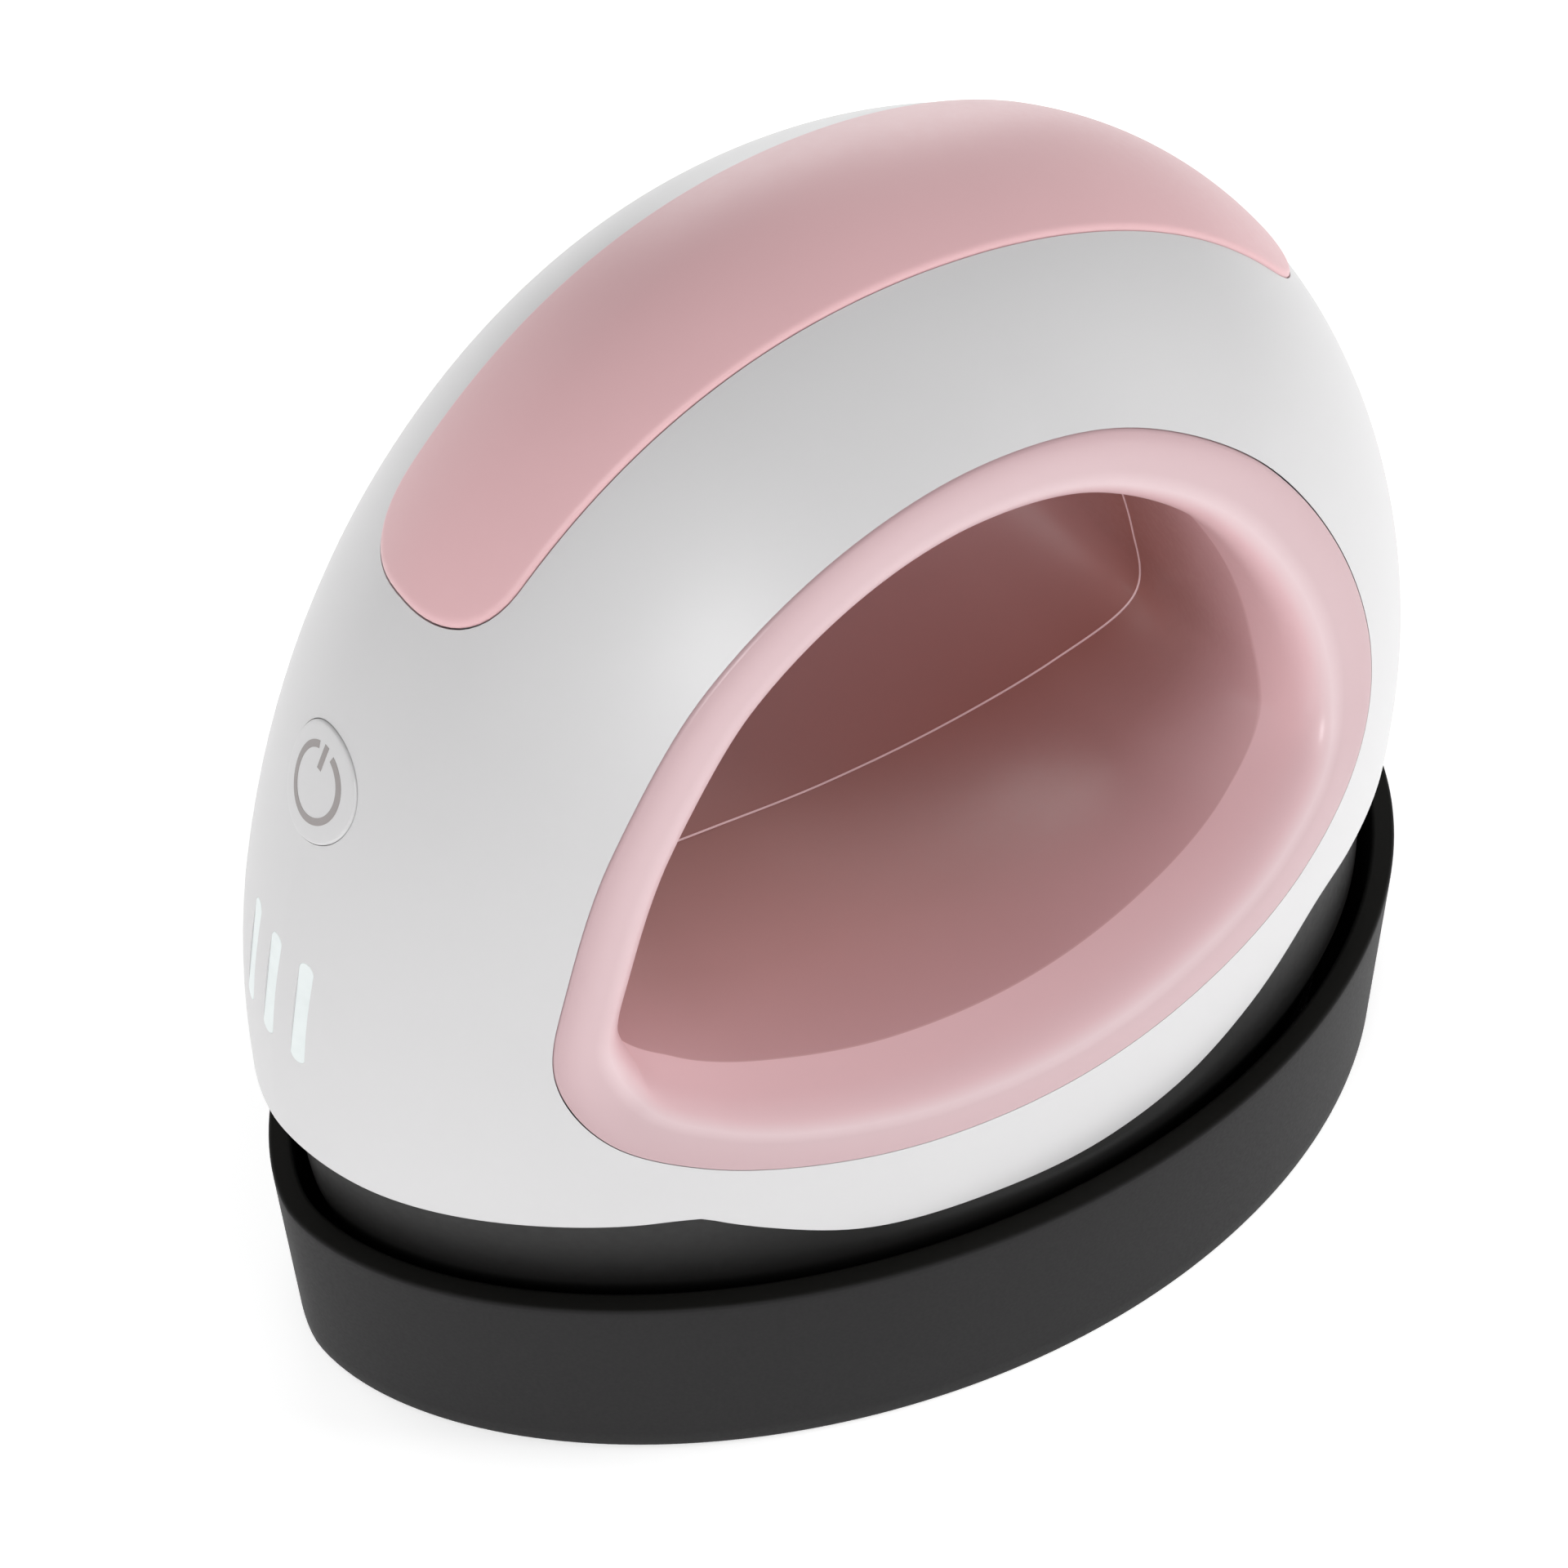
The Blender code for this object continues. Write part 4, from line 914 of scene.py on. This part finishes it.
def face_rings(matrix, outlines):
    """Rings that lie on the shell over the given local outlines: (outline, proud) pairs."""
    inwards = np.array(matrix.to_3x3() @ Vector((0, 0, -1)))
    rings = []
    for outline, proud in outlines:
        starts = np.array([matrix @ Vector((x, y, 0)) for x, y in outline]).T
        behind, before = (inwards[:, None] * reach for reach in SEARCH)
        face = bisect_surface(starts + behind, starts - before)
        rings.append((face - inwards[:, None] * proud).T)
    return rings


def plain_rings(matrix, outlines):
    """Flat rings: (outline, local z) pairs."""
    return [[matrix @ Vector((x, y, z)) for x, y in outline] for outline, z in outlines]


BUTTON_ROUND = 0.25 * MM            # rounding of the button's edge


def make_button():
    """Power button: its face follows the nose, and a flange behind the shell keeps it in."""
    matrix = nose_matrix(*nose_frame(BUTTON_HEIGHT))
    soft = BUTTON_ROUND
    face = [(button_oval(BUTTON_RADIUS * share), BUTTON_PROUD) for share in (0.02, 0.2, 0.4, 0.6, 0.8, 0.9)]
    for angle in np.linspace(0, math.pi / 2, 7):
        face.append((button_oval(BUTTON_RADIUS - soft * (1 - math.sin(angle))),
                     BUTTON_PROUD - soft * (1 - math.cos(angle))))
    body = [(button_oval(BUTTON_RADIUS), -FLANGE_DEPTH), (button_oval(BUTTON_FLANGE_RADIUS), -FLANGE_DEPTH),
            (button_oval(BUTTON_FLANGE_RADIUS), -FLANGE_DEPTH - FLANGE_THICKNESS)]
    bm = bmesh.new()
    loft(bm, face_rings(matrix, face) + plain_rings(matrix, body))
    make_object("visual_power_button", bm, "power_button", "white_button", BUTTON_WHITE, "power_button")
    make_icon(matrix)


ICON_RADIUS = 3.7 * MM
ICON_STROKE = 0.66 * MM
ICON_BAR = 0.6 * MM                 # width of the bar
ICON_BAR_FOOT = 1.4 * MM            # how far above the middle it starts
ICON_GAP = math.radians(19)         # half the opening in the ring
ICON_LEVELS = (BUTTON_PROUD - 0.02 * MM, BUTTON_PROUD + 0.025 * MM)     # under and upper side


def make_icon(matrix):
    """The power sign printed on the button: an open ring with a bar in its gap."""
    start, end = math.pi / 2 + ICON_GAP, math.pi / 2 + 2 * math.pi - ICON_GAP
    angles = np.linspace(start, end, 72)

    def arc(radius):
        return [(BUTTON_NARROW * radius * math.cos(a), radius * math.sin(a)) for a in angles]

    outer, inner = arc(ICON_RADIUS), arc(ICON_RADIUS - ICON_STROKE)
    half = ICON_BAR / 2
    heights = np.linspace(ICON_BAR_FOOT, ICON_RADIUS + 0.05 * MM, 8)
    left, right = [(-half, y) for y in heights], [(half, y) for y in heights]
    for name, first, second in (("power_sign_ring", outer, inner), ("power_sign_bar", left, right)):
        levels = [face_rings(matrix, [(first, proud), (second, proud)]) for proud in ICON_LEVELS]
        bm = bmesh.new()
        grids = [[[bm.verts.new(p) for p in line] for line in level] for level in levels]
        (a, b), (c, d) = grids
        for i in range(len(a) - 1):
            for quad in ((a[i], a[i + 1], b[i + 1], b[i]), (c[i], c[i + 1], d[i + 1], d[i]),
                         (a[i], a[i + 1], c[i + 1], c[i]), (b[i], b[i + 1], d[i + 1], d[i])):
                bm.faces.new(quad)
        for i in (0, -1):
            bm.faces.new((a[i], b[i], d[i], c[i]))
        make_object(name, bm, "power_button", "white_button", GREY_INK)


# Face of a light pipe: share of its width drawn in, mm proud of the shell
PIPE_FACE = ((0.9, 0.02), (0.6, 0.02), (0.3, 0.02), (0.04, 0.02), (0.0, -0.03))


def make_pipes():
    """Light pipes that fill the slots, each face a hair proud of the shell."""
    body = stadium(SLOT_WIDTH, SLOT_LENGTH)
    for name, matrix in slot_places():
        face = []
        for shrink, proud in PIPE_FACE:
            cut = SLOT_WIDTH * shrink
            face.append((stadium(SLOT_WIDTH - cut, SLOT_LENGTH - cut), proud * MM))
        bm = bmesh.new()
        loft(bm, face_rings(matrix, face) + plain_rings(matrix, [(body, -PIPE_LENGTH)]))
        make_object("visual_light_pipe_" + name, bm, "press", "light_pipe", LENS, "light_pipe_" + name)


# ---------------------------------------------------------------- heat shield

SKIRT_ROUND = 0.6 * MM              # rounding of the skirt's lower edge


def shield_ring(inset, z):
    """Outline of the skirt: inside the shell at the top, close to the stand's wall at its rim."""
    z = z + 0 * TURN
    inner = SHELL_WALL + SKIRT_CLEARANCE + inset
    width, front, rear = section(np.maximum(z, BASE_HEIGHT))
    high = egg(TURN, width - inner, front + inner, rear - inner, SHELL_SKEW)
    drawn = SKIRT_TAPER * np.clip((BASE_HEIGHT - z) / (BASE_HEIGHT - SKIRT_BOTTOM), 0, 1)
    inner = BASE_WALL + SKIRT_GAP + inset + drawn
    reach = BASE_HALF_LENGTH - inner
    low = egg(TURN, BASE_HALF_WIDTH - inner, -reach, reach, BASE_SKEW)
    edge = edge_height(TURN) - SKIRT_CLEARANCE
    share = np.clip((edge - z) / (edge - BASE_HEIGHT), 0, 1)
    x, y = (a + (b - a) * share for a, b in zip(high, low))
    return np.stack([x, y, z], axis=1)


def make_shield():
    """The skirt below the shell, with the deck across it that the boards stand on."""
    top = edge_height(TURN) + SKIRT_OVERLAP
    soft = SKIRT_ROUND
    rings = [shield_ring(SKIRT_WALL, DECK_BOTTOM), shield_ring(SKIRT_WALL, SKIRT_BOTTOM + 0.4 * MM),
             shield_ring(SKIRT_WALL - 0.4 * MM, SKIRT_BOTTOM), shield_ring(soft, SKIRT_BOTTOM)]
    rings += [shield_ring(soft * (1 - math.sin(a)), SKIRT_BOTTOM + soft * (1 - math.cos(a)))
              for a in np.linspace(0.3, math.pi / 2, 5)]
    rings += [shield_ring(0, z * MM) for z in (15, 18, 21, 23.2)]
    rim = BASE_HEIGHT
    edge = top - SKIRT_OVERLAP - SKIRT_CLEARANCE
    rings += [shield_ring(0, rim + (edge - rim) * share) for share in np.linspace(0.1, 1.0, 8)]
    rings += [shield_ring(0, top)]
    rings += [shield_ring(SKIRT_WALL, top), shield_ring(SKIRT_WALL, DECK_TOP)]
    bm = bmesh.new()
    loft(bm, rings)
    make_object("visual_heat_shield", bm, "press", "shield_plastic", SHIELD, "heat_shield")


# ---------------------------------------------------------------- studio

FLOOR_HALF = 3.0
FLOOR_GLOW = 0.46
HORIZON, ZENITH = 0.42, 0.20        # strength of the world's pale light
# Name, place, target, size, power, and whether it gives diffuse light and highlights
LIGHTS = (
    ("key", (0.50, -0.62, 0.50), (0, 0, 0.06), (0.7, 0.7), 4.15, True, False),
    ("shine", (0.75, -0.43, 0.38), (0, 0, 0.07), (0.2, 0.2), 1.9, False, True),
    ("tail", (0.45, 0.75, 0.45), (0, 0, 0.05), (0.4, 0.4), 4.8, True, False),
    ("fill", (-0.70, -0.35, 0.45), (0, 0, 0.06), (0.5, 0.5), 1.3, True, False),
    ("far side", (-0.70, 0.40, 0.24), (0, 0, 0.09), (0.5, 0.4), 1.7, True, True),
    ("low right", (0.85, 0.15, 0.15), (0, 0, 0.03), (0.5, 0.16), 0.5, True, True),
    ("low left", (-0.35, -0.85, 0.15), (0, 0, 0.03), (0.5, 0.16), 0.2, True, True),
)


def area(name, place, target, size, power, diffuse, glossy):
    """Rectangular lamp at place, turned to the target."""
    data = bpy.data.lights.new(name, 'AREA')
    data.shape = 'RECTANGLE'
    data.size, data.size_y = size
    data.energy = power
    obj = bpy.data.objects.new(name, data)
    obj.location = place
    obj.visible_diffuse = diffuse
    obj.visible_glossy = glossy
    obj.rotation_mode = 'QUATERNION'
    obj.rotation_quaternion = (Vector(target) - Vector(place)).to_track_quat('-Z', 'Y')
    bpy.context.scene.collection.objects.link(obj)


def make_studio():
    """Pale floor that glows a little, pale world and soft lamps."""
    bm = bmesh.new()
    half = FLOOR_HALF
    bm.faces.new([bm.verts.new((x * half, y * half, 0)) for x, y in ((-1, -1), (1, -1), (1, 1), (-1, 1))])
    mat, nodes, links, shader, place = tree_of("floor")
    links.new(ramp(nodes, links, noise(nodes, links, place, 3.0), (0.92, 0.92, 0.92), (0.94, 0.94, 0.94)),
              shader.inputs["Base Color"])
    shader.inputs["Emission Color"].default_value = (1, 1, 1, 1)
    shader.inputs["Emission Strength"].default_value = FLOOR_GLOW
    shader.inputs["Roughness"].default_value = 0.7
    shader.inputs["Specular IOR Level"].default_value = 0.1
    make_object("floor", bm, None, None, mat)

    world = bpy.data.worlds.new("studio")
    world.use_nodes = True
    nodes, links = world.node_tree.nodes, world.node_tree.links
    split = nodes.new('ShaderNodeSeparateXYZ')
    links.new(nodes.new('ShaderNodeTexCoord').outputs["Generated"], split.inputs["Vector"])
    links.new(remap(nodes, links, split.outputs["Z"], HORIZON, ZENITH, 0.0, 1.0),
              nodes["Background"].inputs["Strength"])
    nodes["Background"].inputs["Color"].default_value = (1, 1, 1, 1)
    bpy.context.scene.world = world
    bpy.context.scene.view_settings.view_transform = 'Standard'
    for light in LIGHTS:
        area(*light)


CAMERA_PLACE = (0.1600, -0.1118, 0.2650)
CAMERA_TURN = (56.62, 48.55, -0.96)     # azimuth, elevation and roll, in degrees
CAMERA_LENS, CAMERA_SENSOR = 70.16, 36


def make_camera():
    """Camera at the photo's angle; azimuth 0 looks along +Y and 90 along -X."""
    azimuth, elevation, roll = (math.radians(angle) for angle in CAMERA_TURN)
    back = Vector((math.sin(azimuth) * math.cos(elevation), -math.cos(azimuth) * math.cos(elevation),
                   math.sin(elevation)))
    right = Vector((math.cos(azimuth), math.sin(azimuth), 0))
    up = back.cross(right)
    across = right * math.cos(roll) + up * math.sin(roll)
    over = up * math.cos(roll) - right * math.sin(roll)
    data = bpy.data.cameras.new("photo_angle")
    data.lens = CAMERA_LENS
    data.sensor_width = CAMERA_SENSOR
    camera = bpy.data.objects.new("photo_angle", data)
    facing = Matrix((across, over, back)).transposed().to_4x4()
    camera.matrix_world = Matrix.Translation(CAMERA_PLACE) @ facing
    bpy.context.scene.collection.objects.link(camera)
    bpy.context.scene.camera = camera


dress_cad()
make_stand()
make_shell()
make_grip()
make_liners()
make_button()
make_pipes()
make_shield()
make_studio()
make_camera()
